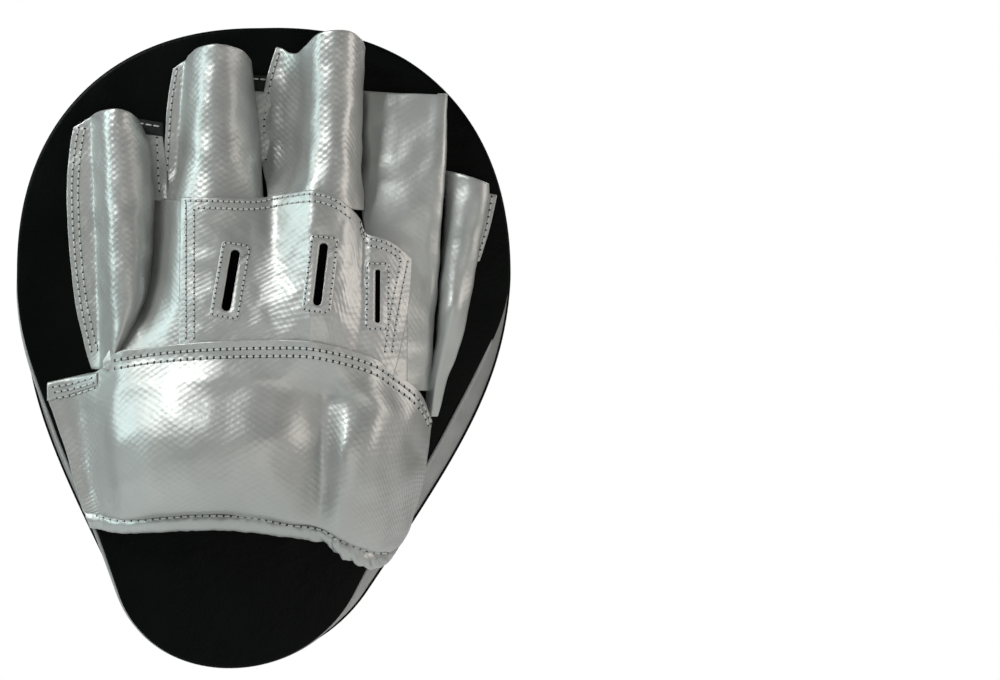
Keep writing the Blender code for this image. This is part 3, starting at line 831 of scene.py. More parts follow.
MIDDLE_ROWS = [
    free_row((4.9, 7.8, 10, 13.6, 17, 20.6, 24.6, 31, 37.4, 41.4, 42.4, 41),
        (126.8, 125.8, 124.2, 124, 127, 130.9, 133, 133.9, 133, 129.6, 126.4, 124),
        (-3, -3.6, -5.5, -10, -17, -22, -25.6, -27, -24.5, -17.5, -9.5, -2.4)),
    level_row(112, (0.6, 4.4, 9.4, 14.4, 18.2, 20.4, 24.2, 30.3, 36.8, 40.9, 42.0, 40),
        (-3, -3.4, -5.4, -10.4, -18, -23, -26.4, -27.8, -25, -17.5, -9.5, -2.4)),
    level_row(94, (-2.2, 2.4, 8, 13.4, 17.6, 20.2, 24, 30, 36, 40, 41.3, 39.6),
        (-3, -3.4, -5.2, -10.6, -19, -24.4, -27.8, -29, -26, -18.4, -9.5, -2.4)),
    level_row(79, (-1.4, 3.2, 8, 12.8, 17, 19.8, 23.6, 29.6, 35.6, 39.6, 41, 39.6),
        (-3.4, -4.4, -7, -13, -21.5, -27, -30, -31, -28, -20.5, -12, -3)),
    level_row(66, (1.2, 4, 8, 12.4, 16.4, 19.4, 23.4, 29, 35, 39.4, 41, 41.6),
        (-12, -13.5, -17, -22.5, -28.5, -32, -33, -32.6, -29.4, -23, -17, -12)),
    level_row(57, (1.2, 4, 8, 12.4, 16.4, 19.4, 23.4, 29, 35, 39.4, 41.2, 42),
        (-20, -21, -24, -28, -32, -34, -34, -33.4, -30.6, -26, -22, -18)),
]
INDEX_ROWS = [
    free_row((41, 45, 52, 60, 68, 74, 76.9, 76.6, 73),
        (108.2, 108, 107.6, 107.2, 106.9, 106.8, 106.9, 106.9, 107),
        (-3, -6.6, -8.4, -9.2, -9.8, -9.8, -8.6, -5.6, -2.6)),
    level_row(95, (40.5, 44.6, 52, 60, 68, 73.6, 76.7, 76.3, 73),
        (-3.4, -8.4, -10.2, -11.2, -11.8, -12.2, -10.6, -6.6, -2.6)),
    level_row(80, (40, 44.2, 52, 60, 68, 73, 76.2, 75.8, 72),
        (-4.4, -10, -12.8, -13.9, -14.6, -14.6, -12.6, -7.6, -2.6)),
    level_row(65, (40, 45, 52, 60, 67.5, 72, 75.4, 74.8, 71.5),
        (-11, -14, -15.7, -16.7, -16.8, -16.2, -13.6, -8, -2.6)),
    level_row(52, (41.5, 46, 52, 60, 66.5, 71, 74.6, 74, 71),
        (-20, -19.6, -19.2, -18.4, -17.4, -16.0, -13, -7.6, -2.6)),
    level_row(41, (44.5, 49, 54.6, 60.4, 65.5, 70, 73.7, 73.2, 70.5),
        (-23.4, -22.4, -20.6, -18.4, -16.6, -14.8, -11.8, -7, -2.6)),
    level_row(28, (55, 59, 62.6, 66, 68.6, 71, 73, 72.6, 70.4),
        (-21, -18.6, -16.8, -15.2, -14.2, -13.0, -10.8, -6.8, -2.6)),
    level_row(12, (53, 57, 60.6, 64.2, 67.4, 70, 71.9, 71.5, 69.5),
        (-22.5, -20, -17.8, -15.8, -14, -12.4, -10, -6, -2.6)),
    level_row(-5, (51, 55, 59, 62.6, 66, 68.8, 70.6, 70.3, 69),
        (-24, -21.4, -18.4, -15.8, -13.2, -10.8, -8, -5, -2.6)),
    level_row(-18, (53, 56.6, 60, 63, 65.8, 68.2, 69.9, 69.8, 69),
        (-22.5, -20.4, -17.4, -14.2, -11, -8, -5.6, -4, -2.6)),
]
THUMB_ROWS = [
    free_row((73.6, 77.6, 82, 86, 90, 93, 94.6, 94.1, 92),
        (74.8, 74.4, 73.4, 72.3, 71.1, 70, 69.2, 68.9, 68.6),
        (-3, -7, -10.4, -12.2, -12.2, -10.8, -8.6, -5.6, -2.6)),
    level_row(60, (75.6, 76.6, 81, 85, 89, 92, 93.9, 93.4, 91),
        (-3, -8, -11.6, -13.4, -13.4, -12, -9.4, -6, -2.6)),
    level_row(45, (74.4, 75.8, 78.6, 82.6, 86.2, 89.1, 91, 90.5, 88.5),
        (-3, -8.4, -12, -14, -14, -12.4, -9.8, -6, -2.6)),
    level_row(28, (73.4, 74.2, 76.4, 79.8, 83.2, 86, 88, 87.5, 85.5),
        (-4, -9.4, -13, -15, -14.6, -12.6, -9.8, -6, -2.6)),
    level_row(15, (72.6, 73.4, 75.4, 78.4, 81.3, 83.7, 85.6, 85.1, 83.3),
        (-5, -11, -15, -16.8, -15.8, -13.2, -10, -6, -2.6)),
    level_row(0, (71.4, 72.2, 73.8, 76.1, 78.3, 80.3, 82, 81.6, 80),
        (-5, -9.6, -12.2, -12.8, -11.8, -10.4, -8.4, -5, -2.6)),
    level_row(-15, (68, 70, 71.6, 73, 74.3, 75.5, 76.4, 76, 75),
        (-5, -8, -9.4, -9.4, -8.8, -7.8, -6.4, -4, -2.4)),
    level_row(-29, (67.6, 69, 70, 70.8, 71.6, 72.3, 72.8, 72.6, 72),
        (-4, -5.4, -6, -6, -5.6, -5, -4.4, -3.6, -2.6)),
]

HAND_ACROSS = (-36, -33, -28, -22, -14, -5, 4, 12, 17, 19.5, 23, 28, 34, 38.5, 41.5, 45, 50, 56, 62)


def hand_row(left, depths):
    """A row of (x, y) across the hand's back: its own first places, and then HAND_ACROSS."""
    return list(zip(left + HAND_ACROSS, depths))


# The hand's back on the pattern, each row with its height
HAND_ROWS = (
    (66, hand_row((-50, -46, -43, -40, -38),
        (-3, -3.4, -7, -13, -18, -21.5, -25, -28, -29.2, -28, -24, -20, -26, -32, -34.2, -34.4, -33.6,
         -30.4, -25, -19, -18, -17, -16, -14))),
    (50, hand_row((-50, -46.6, -43, -40, -38),
        (-3.4, -5, -10, -16.5, -21.5, -25, -27.4, -29.6, -30.6, -29.6, -27, -26, -31, -35, -36.6, -36.2,
         -35, -31.8, -27.6, -24, -24.4, -24.4, -22, -17))),
    (35, hand_row((-50, -47, -44, -41, -38.5),
        (-4, -7, -12.5, -18.5, -23.5, -27, -29, -31, -31.8, -31.4, -30, -30.4, -34, -36.8, -38.2, -37.6,
         -36.2, -33.2, -29.4, -26.6, -27.4, -26.2, -23, -18.4))),
    (20, hand_row((-53, -49, -45, -41, -38.5),
        (-8, -13, -18.5, -23, -26.4, -28.8, -30.6, -32.8, -33.8, -33.8, -33.4, -34.4, -37.2, -39, -40,
         -39.2, -37.6, -34.8, -31.6, -29.6, -29.6, -27.8, -24.2, -19))),
    (8, hand_row((-60, -54, -48, -43, -39),
        (-14, -18.6, -22.8, -26, -28.6, -30, -31.6, -33.6, -34.8, -35.4, -35.6, -36.6, -38.2, -39.2, -39.8,
         -39, -37.4, -34.8, -32.2, -30.8, -30.2, -27.6, -24, -19))),
    (-5, hand_row((-68, -60, -52, -45, -40),
        (-17.5, -21.5, -25.4, -28.2, -30, -31.2, -32.2, -33.6, -34.6, -35.6, -36, -36.4, -36.8, -37, -37,
         -36.4, -35.4, -33.6, -32, -31, -29.8, -27.2, -23.4, -18.6))),
)
PATCH_LEFT = -36.0
PATCH_TOP = (
    (-35.8, 63.6), (-18, 63.4), (-4, 63.0), (8, 65.0), (20.2, 66.4), (29, 64.2), (36, 59.4), (40.5, 54.6),
    (43, 48.6), (50, 46.4), (56, 43.0), (62.2, 37.8),
)
PATCH_CORNER = 7  # where PATCH_TOP steps down to the index finger
PATCH_RIGHT = (
    (62.2, 37.8), (59.4, 24), (57, 10), (55.6, 0), (54.4, -10),
)

# The cuff's seam on the pattern; the cuff's edge laps over it by SEAM_LAP
SEAM_LINE = (
    (-62.6, -5.2), (-50, -3.2), (-40.7, -2.1), (-19.7, -0.6), (8, 0), (20.6, -0.6), (35.7, -3.8),
    (47, -7.8), (54, -12.6), (62, -18.6), (67, -24.6), (70, -31.6),
)
SEAM_LAP = 3.4
ROW_GAP = 3.4
OVER_PATCH = 2.9

CUFF_ROWS = (
    free_row((-87.6, -77.4, -70.6, -63, -49, -35, -19.5, 0, 11, 20.8, 27, 35.6, 46.8, 55.4, 62.4, 68.4),
        (-31, -28.5, -25.5, -23, -21, -20, -19.6, -19.4, -19.6, -20.6, -22, -24.4, -28, -34, -41, -48),
        (-1.6, -2.6, -12.5, -27, -35.4, -39.2, -41, -40.4, -38.6, -34.6, -33.4, -37.5, -36.4, -28.6, -17.6,
         -1)),
    free_row((-83.6, -74.9, -69.2, -62, -48.6, -34.8, -19.6, -1, 10, 20.2, 26.4, 34, 44.2, 53, 60.6, 66.6),
        (-43, -43.5, -41.5, -40, -38.6, -38, -37.8, -38, -38.4, -39.4, -40.4, -42.4, -46, -50.6, -56, -60),
        (-1.6, -2.6, -13.5, -31, -41, -45.2, -47.2, -46.4, -43.4, -37, -35.2, -42, -39.6, -29.5, -15.5, 4)),
    free_row((-79.8, -72.6, -67.2, -60.6, -47.8, -34.4, -19.7, -2.4, 9.4, 20, 25.8, 32.6, 41.8, 50, 57,
         62.6),
        (-57, -58, -57.5, -57, -56.2, -55.8, -55.6, -56, -56.8, -58.4, -59.8, -62.4, -66, -69.5, -72.5,
         -73.5),
        (-1.6, -2.8, -12, -28.5, -39, -43.8, -46, -45.4, -42, -35, -32.8, -38.5, -34.5, -24.4, -9.4, 9)),
    free_row((-76.8, -70.8, -64.8, -58.4, -47.3, -34.1, -19.7, -2.8, 9.1, 20, 25.4, 31.6, 40, 47.4, 54,
         59.2),
        (-67, -67.5, -69.2, -69.8, -69, -68, -67.6, -68.6, -70.8, -72.6, -74.6, -78, -81.4, -83.6, -83.4,
         -80.6),
        (-1.6, -3.6, -10, -20, -31, -36, -38, -37.8, -36, -31.6, -30.6, -31.6, -26.5, -17.6, -5, 10)),
)
CUFF_FOOT = free_row(
    (-75.4, -70.2, -64.4, -58, -47, -34, -19.7, -3, 9, 19.4, 25, 31, 39.4, 46, 52, 56.8),
    (-70, -70.6, -72.2, -72.9, -72.2, -71, -70.6, -71.8, -74.4, -75.6, -77, -80.6, -84.2, -86.2, -86.4,
     -84.4),
    (-1.6, -4, -9.4, -15, -22.5, -27.6, -29.6, -30.2, -29.6, -27.4, -26.6, -25.6, -20.5, -13.5, -4, 9),
)
BINDING_EDGE = free_row(
    (-73.4, -69.4, -64, -58, -47, -34, -19.7, -3, 9, 19.4, 25, 30.6, 39, 46.6, 51, 54),
    (-75.4, -76, -77.2, -77.8, -77.4, -76.8, -76.4, -77.6, -79.4, -80.6, -81.4, -86, -90.8, -92.7, -90.8,
     -87.4),
    (-1.8, -3.4, -8, -13, -20, -25, -27, -27.6, -27, -25, -24, -23, -18, -11.5, -3, 8),
)

# Each vent: x, z, length, width and lean on the pattern
VENTS = ((-14.0, 28.4, 26.0, 3.9, 9.8), (23.7, 31.0, 26.4, 3.6, 6.8), (47.7, 21.8, 22.4, 2.1, 0.4))
VENT_NODES = ("vent_frame_ring", "vent_frame_middle", "vent_frame_index")
CUT_DEPTHS = (-70, -8)  # between which a slot is cut
VENT_CORNER = 9.0  # at most; half the width makes a slot's ends round
FRAME_CORNER = 2.2
FRAME_MARGIN = (4.6, 3.4)  # beside a slot, and past its ends
FRAME_LIFT = 0.45
# Share of the margin, and lift
FRAME_RINGS = ((0.0, 0.1), (0.08, 0.8), (0.3, 1.2), (0.55, 1.0), (0.8, 0.9), (0.93, 0.7), (1.0, 0.1))

FINE_X = np.linspace(-70, 64, 260)
HAND_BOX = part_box("hand_lining")
HAND_RIGHT = 60.5
UNDER_PATCH = 1.4  # how far the hand's back stops short of the patch's top
UNDER_CUFF = 4.0
PATCH_OVER_SEAM = 0.6
PATCH_GAP = 0.3


def hand_table():
    """The hand's depths on a fine grid, FINE_X across, with its heights from the top down."""
    rows = []
    for _, points in HAND_ROWS:
        fine = spline(np.array(points, float), 200)
        rows.append(np.interp(FINE_X, fine[:, 0], fine[:, 1]))
    heights = spline(np.array([[z] for z, _ in HAND_ROWS], float), 90)[:, 0]
    return heights, spline(np.array(rows), 90)


HAND_HEIGHTS, HAND_DEPTHS = hand_table()


def hand_depth(x, z):
    row = np.interp(-z, -HAND_HEIGHTS, np.arange(len(HAND_HEIGHTS)))
    low = min(int(row), len(HAND_HEIGHTS) - 2)
    share = row - low
    column = HAND_DEPTHS[low] * (1 - share) + HAND_DEPTHS[low + 1] * share
    lift = noise.noise(Vector((x / 9, z / 11, 3.7))) * 0.7 + noise.noise(Vector((x / 4, z / 5, 9.1))) * 0.25
    return float(np.interp(x, FINE_X, column)) + lift


def hand_left(z):
    return float(np.interp(-z, [-row[0] for row in HAND_ROWS], [row[1][0][0] for row in HAND_ROWS]))


def line_height(line, x):
    return float(np.interp(x, [p[0] for p in line], [p[1] for p in line]))


def hand_grid(down=70, across=150):
    rows = []
    for i in range(down):
        t = i / (down - 1)
        row = []
        for j in range(across):
            s = j / (across - 1)
            z = 0.0
            for _ in range(4):  # the left edge depends on the height, so both are found by turns
                x = hand_left(z) * (1 - s) + HAND_RIGHT * s
                top = line_height(PATCH_TOP, max(x, PATCH_LEFT)) - UNDER_PATCH
                bottom = line_height(SEAM_LINE, x) - UNDER_CUFF
                z = top + (bottom - top) * t
            row.append(at(x, z, hand_depth(x, z)))
        rows.append(row)
    return np.array(rows)


def patch_grid(down=80, across=150):
    top = spline(np.array(PATCH_TOP, float), across)
    right = [(z, x) for x, z in reversed(PATCH_RIGHT)]
    rows = []
    for i in range(down):
        t = i / (down - 1)
        x_right = line_height(right, PATCH_RIGHT[0][1] + (PATCH_RIGHT[-1][1] - PATCH_RIGHT[0][1]) * t)
        row = []
        for j in range(across):
            s = j / (across - 1)
            x = top[j, 0] + ((PATCH_LEFT + (x_right - PATCH_LEFT) * s) - top[j, 0]) * t
            bottom = line_height(SEAM_LINE, x) + PATCH_OVER_SEAM
            z = top[j, 1] + (bottom - top[j, 1]) * t
            row.append(at(x, z, hand_depth(x, z) - LEATHER - PATCH_GAP))
        rows.append(row)
    return np.array(rows)


def vent_outline(vent, margin_side, margin_end, corner, steps=10):
    """A rounded rectangle round a vent on the pattern."""
    x, z, length, width, angle = vent
    half_w, half_l = width / 2 + margin_side, length / 2 + margin_end
    corner = min(corner, half_w)
    cos, sin = math.cos(math.radians(angle)), math.sin(math.radians(angle))
    points = []
    for cx, cz, first in ((1, 1, 0), (-1, 1, 90), (-1, -1, 180), (1, -1, 270)):
        for k in range(steps + 1):
            turn = math.radians(first + 90 * k / steps)
            side = cx * (half_w - corner) + corner * math.cos(turn)
            rise = cz * (half_l - corner) + corner * math.sin(turn)
            points.append((x + side * cos + rise * sin, z + rise * cos - side * sin))
    return points


def cut_vents(thing):
    """Cuts the three slots through a sheet."""
    for number, vent in enumerate(VENTS):
        outline = vent_outline(vent, 0, 0, VENT_CORNER)
        count = len(outline)
        points = [at(px, pz, y) for y in CUT_DEPTHS for px, pz in outline]
        faces = [tuple(range(count))[::-1], tuple(range(count, 2 * count))]
        faces += [(k, (k + 1) % count, count + (k + 1) % count, count + k) for k in range(count)]
        cutter = mesh_from(f"slot_cutter_{number}", points, faces, [CUT_EDGE])
        weld(cutter)
        slot = thing.modifiers.new("slot", "BOOLEAN")
        slot.object = cutter
        slot.operation = "DIFFERENCE"
        slot.solver = "EXACT"
        apply_modifiers(thing)
        bpy.data.objects.remove(cutter, do_unlink=True)
    return thing


def frame_grid(vent):
    """A leather frame round a slot: rings from the slot's edge outwards, over the patch."""
    rings = []
    for share, lift in FRAME_RINGS:
        corner = VENT_CORNER if share < 0.4 else FRAME_CORNER
        outline = vent_outline(vent, FRAME_MARGIN[0] * share, FRAME_MARGIN[1] * share, corner)
        out = FRAME_LIFT * lift
        rings.append([at(x, z, hand_depth(x, z) - LEATHER - PATCH_GAP - out) for x, z in outline])
    return np.array(rings)


CUFF_TOP_ACROSS = (-62, -50, -36, -19.7, 0, 11, 20.2, 27, 35.7, 47)  # where its edge follows the seam
CUFF_TOP_LEFT = [(-91, -14.7, -1.8), (-80, -12.2, -2.6), (-70.4, -9.6, -11)]
CUFF_TOP_RIGHT = [(57.5, -11.6, -22.6), (65.6, -18.6, -15.5), (71.4, -31, -4)]
CUFF_HEM = 6.4  # between the cuff's edge and its second row
CUFF_SWELL = (0, 0.2, 0.4, 0.6, 0.4, 0, -0.4, -0.6, -0.6, -0.4, 0, 0.4, 0.8, 1, 0.4, -1.2)
CUFF_SWELL_BELOW = (0, 0.1, 0.4, 0.8, 0.8, 0.6, 0.4, 0.2, 0, -0.4, -0.2, 0.6, 1, 1, 0.6, 0)
CUFF_CORNER = (70.4, -36.4, -3)  # the second row's last point, beside the thumb


def cuff_rows():
    """The cuff's rows down from its edge over the seam to its foot."""
    seam_line = spline(np.array(SEAM_LINE, float), 60)
    along_seam = []
    for x in CUFF_TOP_ACROSS:
        z = np.interp(x, seam_line[:, 0], seam_line[:, 1]) + SEAM_LAP
        along_seam.append((x, z, hand_depth(x, z) - OVER_PATCH))
    top = np.array(CUFF_TOP_LEFT + along_seam + CUFF_TOP_RIGHT)
    second = top.copy()
    second[:, 1] -= CUFF_HEM
    second[:, 2] -= CUFF_SWELL
    second[-1] = CUFF_CORNER
    third = second * 0.45 + np.array(CUFF_ROWS[0]) * 0.55
    third[:, 2] -= CUFF_SWELL_BELOW
    return np.array([top, second, third] + [np.array(row) for row in CUFF_ROWS] + [np.array(CUFF_FOOT)])


def binding_grid():
    """The bound lower edge of the cuff: over the front, round the edge and up behind."""
    foot, edge = np.array(CUFF_FOOT), np.array(BINDING_EDGE)
    rows = [foot + (0, 1.1, -0.5), foot + (0, 0.6, -1.2)]
    for share, out in ((0.15, 1.9), (0.4, 2.3), (0.7, 2.0), (0.92, 1.2)):
        rows.append(foot + (edge - foot) * share - (0, 0, out))
    rows += [edge + (0, -0.2, 0.4), edge + (0, 0.6, 2.0), edge + (0, 2.4, 2.6)]
    return np.array(rows)


def offset_grid(grid, distance):
    return grid - grid_normals(grid) * distance


SIDE_PANELLED = ("pinky", "index", "thumb")  # the stalls whose leather runs on as a side panel
# Each stall's rows, points across and down, and seed for its unevenness
STALLS = {
    "pinky": (PINKY_ROWS, 64, 84, 3),
    "ring": (RING_ROWS, 64, 62, 4),
    "middle": (MIDDLE_ROWS, 68, 62, 5),
    "index": (INDEX_ROWS, 60, 92, 6),
    "thumb": (THUMB_ROWS, 54, 84, 7),
}
SMOOTH_STALLS = ("index", "thumb")
LINED_SHARE = 0.62  # of a stall's length, from its mouth
LINING_GAP = 0.35


def bend(thing):
    """Bakes the placement of a piece of a stall into its mesh."""
    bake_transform(thing)


def declare_sheet(thing, grid, flat=None):
    """Works out a sheet's flat size and area from its grid, which is one layer, and does nothing more with
    them.
    """
    width, length = flat or (
        np.linalg.norm(np.diff(grid, axis=1), axis=2).sum(axis=1).max(),
        np.linalg.norm(np.diff(grid, axis=0), axis=2).sum(axis=0).max(),
    )
    cells = np.cross(grid[1:, 1:] - grid[:-1, :-1], grid[1:, :-1] - grid[:-1, 1:])
    area = np.linalg.norm(cells, axis=2).sum() / 2
    area = min(area, width * length)


def make_stalls():
    made = {}
    for name, (rows, across, down, seed) in STALLS.items():
        grid = rumple(pattern_grid(rows, across, down), 0.6, 9.0, seed)
        skin = SILVER_SMOOTH if name in SMOOTH_STALLS else SILVER
        sheet = leather_sheet(name + "_stall_leather", grid, skin)
        inner = offset_grid(grid, LEATHER + LINING_GAP)[1 : int(down * LINED_SHARE), 2:-1]
        lining = cloth_sheet(name + "_stall_cloth", inner)
        nodes = [name + "_stall"] + ([name + "_side_panel"] if name in SIDE_PANELLED else [])
        for thing, slot, replaced in (
            (sheet, "silver_leather", nodes),
            (lining, "black_lining", [name + "_stall_lining"]),
        ):
            bend(thing)
            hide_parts(*replaced)
        declare_sheet(sheet, grid)
        declare_sheet(lining, inner)
        made[name] = sheet
    return made


def make_hand():
    """The hand's back with its lining, the knuckle patch over it, and the frames round the vents."""
    grid = hand_grid()
    hand = cut_vents(leather_sheet("hand_panel_leather", grid))
    declare_sheet(ride(hand, "silver_leather", "hand_back_panel"), grid)
    inner = offset_grid(grid, LEATHER + 0.5)[1:-1, 2:-2]
    lining = cut_vents(cloth_sheet("hand_lining_cloth", inner))
    declare_sheet(ride(lining, "black_lining", "hand_lining"), inner)
    grid = patch_grid()
    patch = cut_vents(leather_sheet("knuckle_patch_leather", grid))
    declare_sheet(ride(patch, "silver_leather", "knuckle_patch"), grid)
    frames = []
    for vent, node in zip(VENTS, VENT_NODES):
        grid = frame_grid(vent)
        grid = np.concatenate([grid, grid[:, :1]], axis=1)
        piece = leather_sheet(node + "_leather", grid, SILVER, 0.8)
        flat_uv(piece)
        flat = (vent[3] + 2 * FRAME_MARGIN[0], vent[2] + 2 * FRAME_MARGIN[1])
        declare_sheet(ride(piece, "silver_leather", node), grid, flat)
        frames.append(piece)
    return patch, frames


CUFF_PADDING = 6.5
LEAST_GATHER, MORE_GATHER = 0.35, 1.1
GATHER_X, GATHER_REACH = 34.0, 12.0  # where the binding is gathered most


def make_cuff():
    grid = rumple(placed(smooth_grid(cuff_rows(), 90, 170)), 0.8, 12.0, 8)
    cuff = leather_sheet("cuff_cover_leather", grid)
    ride(cuff, "silver_leather", "cuff_cover", "cuff_foam")
    inner = offset_grid(grid, CUFF_PADDING)[3:-1, 6:-6]
    lining = cloth_sheet("cuff_lining_cloth", inner)
    declare_sheet(ride(lining, "black_lining", "cuff_lining"), inner)
    return cuff


def make_binding():
    """The bound edge of the cuff, with its gathers."""
    bound = placed(smooth_grid(binding_grid(), 24, 220))
    middle = bound[:, :, 0].mean(axis=0)
    gather = [LEAST_GATHER + MORE_GATHER * math.exp(-((x - GATHER_X) / GATHER_REACH) ** 2) for x in middle]
    normals = grid_normals(bound)
    for i, j in np.ndindex(bound.shape[:2]):
        x = bound[i, j, 0]
        wave = noise.noise(Vector((x / 2.6, i / 9, 1.3))) + 0.5 * noise.noise(Vector((x / 1.3, i / 6, 4.1)))
        bound[i, j] += normals[i, j] * wave * gather[j]
    binding = leather_sheet("cuff_binding_leather", bound, SILVER_SMOOTH, 1.0)
    declare_sheet(ride(binding, "silver_leather", "cuff_binding"), bound)
    return binding


# Sewn strips between the stalls and beside the thumb: rows, and points across and down
STRIPS = {
    "pinky_fourchette": (
        [
            [(-54, 90.4, -3), (-47, 89.6, -3.8), (-42.6, 89, -3.4)],
            [(-52.4, 76, -3.2), (-46, 76, -4.6), (-41, 76, -4)],
            [(-51.6, 62, -3.4), (-45.6, 62, -6), (-40.6, 62, -8)],
        ],
        18,
        24,
    ),
    "ring_fourchette": (
        [
            [(-8, 108.5, -2.9), (-2.5, 108, -3.3), (4, 107.6, -2.9)],
            [(-7, 92, -2.9), (-1.5, 92, -3.5), (5, 92, -2.9)],
            [(-5.6, 76.5, -2.9), (0, 76.2, -3.6), (6, 76, -2.9)],
        ],
        16,
        24,
    ),
    "thumb_flange": (
        [
            [(82, 66.4, -2.9), (92, 65.4, -3.4), (98, 64.4, -3.2)],
            [(80, 50, -2.9), (89, 50, -3.4), (94.8, 50, -3.2)],
            [(79, 36, -2.9), (86, 36, -3.4), (90.6, 36.4, -3.2)],
        ],
        20,
        22,
    ),
}
HEMS = {
    "pinky_lining_hem": [
        [(-77.5, 95, -2.0), (-60, 97, -2.2), (-42.4, 94.6, -2.0)],
        [(-77, 84, -2.0), (-60, 84, -2.2), (-42, 84, -2.0)],
    ],
    "middle_lining_hem": [
        [(-9, 115, -2.0), (-2, 114.6, -2.2), (5, 114, -2.0)],
        [(-8, 98, -2.0), (-1, 98, -2.2), (5, 98, -2.0)],
    ],
}
TAB_ROWS, TAB_COLUMNS = 12, 40
TAB_LEFT, TAB_WIDTH = -91.2, 21.4
TAB_TOP, TAB_RISE = -14.2, 4.6
TAB_HEIGHT = 8.4
TAB_NARROWING = 0.25
TAB_LIFT = 0.9


def make_strips():
    made = {}
    for name, (rows, across, down) in STRIPS.items():
        grid = rumple(pattern_grid(rows, across, down), 0.2, 6.0, 12)
        strip = leather_sheet(name, grid)
        declare_sheet(ride(strip, "silver_leather"), grid)
        made[name] = strip
    return made


def make_tab(cuff):
    """The stitched tab at the cuff's corner on the little finger's side, laid on the cuff."""
    tree = tree_of(cuff)
    rows = []
    for i in range(TAB_ROWS):
        t = i / (TAB_ROWS - 1)
        row = []
        for j in range(TAB_COLUMNS):
            s = j / (TAB_COLUMNS - 1)
            x = TAB_LEFT + TAB_WIDTH * s
            z = TAB_TOP + TAB_RISE * s - TAB_HEIGHT * t * (1 - TAB_NARROWING * s)
            found = seen_point(tree, x, z)
            lift = TAB_LIFT - 0.5 * (abs(2 * t - 1) ** 4)
            row.append(tuple(found[0] + found[1] * lift) if found else at(x, z, -1))
        rows.append(row)
    grid = np.array(rows)
    tab = leather_sheet("cuff_side_tab_leather", grid, SILVER_SMOOTH, 0.9)
    declare_sheet(ride(tab, "silver_leather", "cuff_side_tab"), grid)
    return tab


def make_palm_lining():
    xs, zs = np.linspace(HAND_BOX[0][0] / MM, HAND_BOX[1][0] / MM, 60), np.linspace(58, -70, 60)
    grid = np.array([[(x, -0.9 + 0.3 * noise.noise(Vector((x / 9, z / 9, 0.4))), z) for x in xs] for z in zs])
    palm = cloth_sheet("palm_lining_cloth", grid)
    declare_sheet(ride(palm, "black_lining"), grid)


def make_hems():
    made = {}
    for name, rows in HEMS.items():
        grid = pattern_grid(rows, 40, 16)
        hem = cloth_sheet(name, grid)
        declare_sheet(ride(hem, "black_lining"), grid)
        made[name] = hem
    return made


# Stitches beside a stall's edge: the rows of points that they run past, the distances in, and the pitch
FLANGE_SEAMS = {
    "pinky": (PINKY_ROWS[:9], (2.4, 5.0), 3.0),
    "ring": (RING_ROWS[:4], (1.9,), 2.9),
    "middle": (MIDDLE_ROWS[:4], (2.2,), 2.9),
}
TAB_LINES = [
    [(-88.6, -16.4), (-80, -14.8), (-72.4, -12.6)],
    [(-87.8, -18.6), (-79.6, -17), (-71.6, -14.6)],
    [(-87, -21), (-79, -19.4), (-71, -16.8)],
]
HEM_LINES = {
    "pinky_lining_hem": [(-76, 93.4), (-60, 95.2), (-43.6, 93)],
    "middle_lining_hem": [(-8, 113.2), (-2, 113), (4, 112.4)],
}
FOURCHETTE_LINE = [(-45, 88.4), (-44.6, 76), (-44, 66)]
THUMB_LINE = [(95.6, 63.6), (93.2, 50), (90, 38.6)]


def patch_lines():
    """The patch's double row of stitches: down its left, along its top in two runs, and down its right."""
    lines = []
    for inner in (3.2, 6.6):
        x = PATCH_LEFT + inner
        lines.append([(x, 63.6 - inner * 0.85), (x, 40), (x, 20), (x, 4.2)])
    top = spline(np.array(PATCH_TOP[:PATCH_CORNER], float), 40)
    for drop in (1.7, 4.7):
        lines.append([(x, z - drop) for x, z in top if x > PATCH_LEFT + drop * 1.5][::4])
    right_top = spline(np.array(PATCH_TOP[PATCH_CORNER:], float), 20)
    for drop in (1.8, 4.6):
        lines.append([(x, z - drop) for x, z in right_top if x < 62.2 - drop][::3])
    for inner in (1.8, 4.8):
        lines.append([(x - inner, z - 1.5) for x, z in PATCH_RIGHT[:4]])
    return lines


def sew(name, things, lines, pitch, **look):
    ride(seam(name, tree_of(*things), lines, pitch, **look), "silver_leather")


def make_seams(stalls, patch, frames, cuff, binding, strips, tab, hems):
    for name, (rows, distances_in, pitch) in FLANGE_SEAMS.items():
        edge = [(row[0][0], row[0][1]) for row in rows]
        lines = [beside(edge, distance) for distance in distances_in]
        made = seam(name + "_flange_stitches", tree_of(stalls[name]), lines, pitch)
        bend(made)
    sew("patch_stitches", [patch], patch_lines(), 2.3)
    lines = []
    for vent in VENTS:
        outline = vent_outline(vent, FRAME_MARGIN[0] - 1.1, FRAME_MARGIN[1] - 0.9, 1.4, 2)
        lines.append(outline + outline[:1])
    sew("vent_stitches", [*frames, patch], lines, 2.2, thread_width=0.6, smooth=False)
    line = np.array(SEAM_LINE)
    sew("cuff_seam_stitches", [cuff], [line, line - (0, ROW_GAP)], 2.8, thread_width=0.8, hole=0.85)
    foot = [(x, z + 0.2) for x, z, _ in CUFF_FOOT[1:-1]]
    sew("binding_stitches", [binding, cuff], [foot], 3.0)
    sew("tab_stitches", [tab, cuff], TAB_LINES, 2.9)
    sew("pinky_fourchette_stitches", [strips["pinky_fourchette"]], [FOURCHETTE_LINE], 3.0)
    for name, line in HEM_LINES.items():
        sew(name + "_stitches", [hems[name]], [line], 3.2, hole=0.3)
    sew("thumb_flange_stitches", [strips["thumb_flange"]], [THUMB_LINE], 2.9)


# ---------------------------------------------------------------- stage

FLOOR_DROP = 0.45
FLOOR_SIZE = 5.0
MATT_LIGHT, GLOSSY_LIGHT, BACKDROP = 0.3, 0.12, 1.0  # the world on matt and glossy surfaces, and as seen
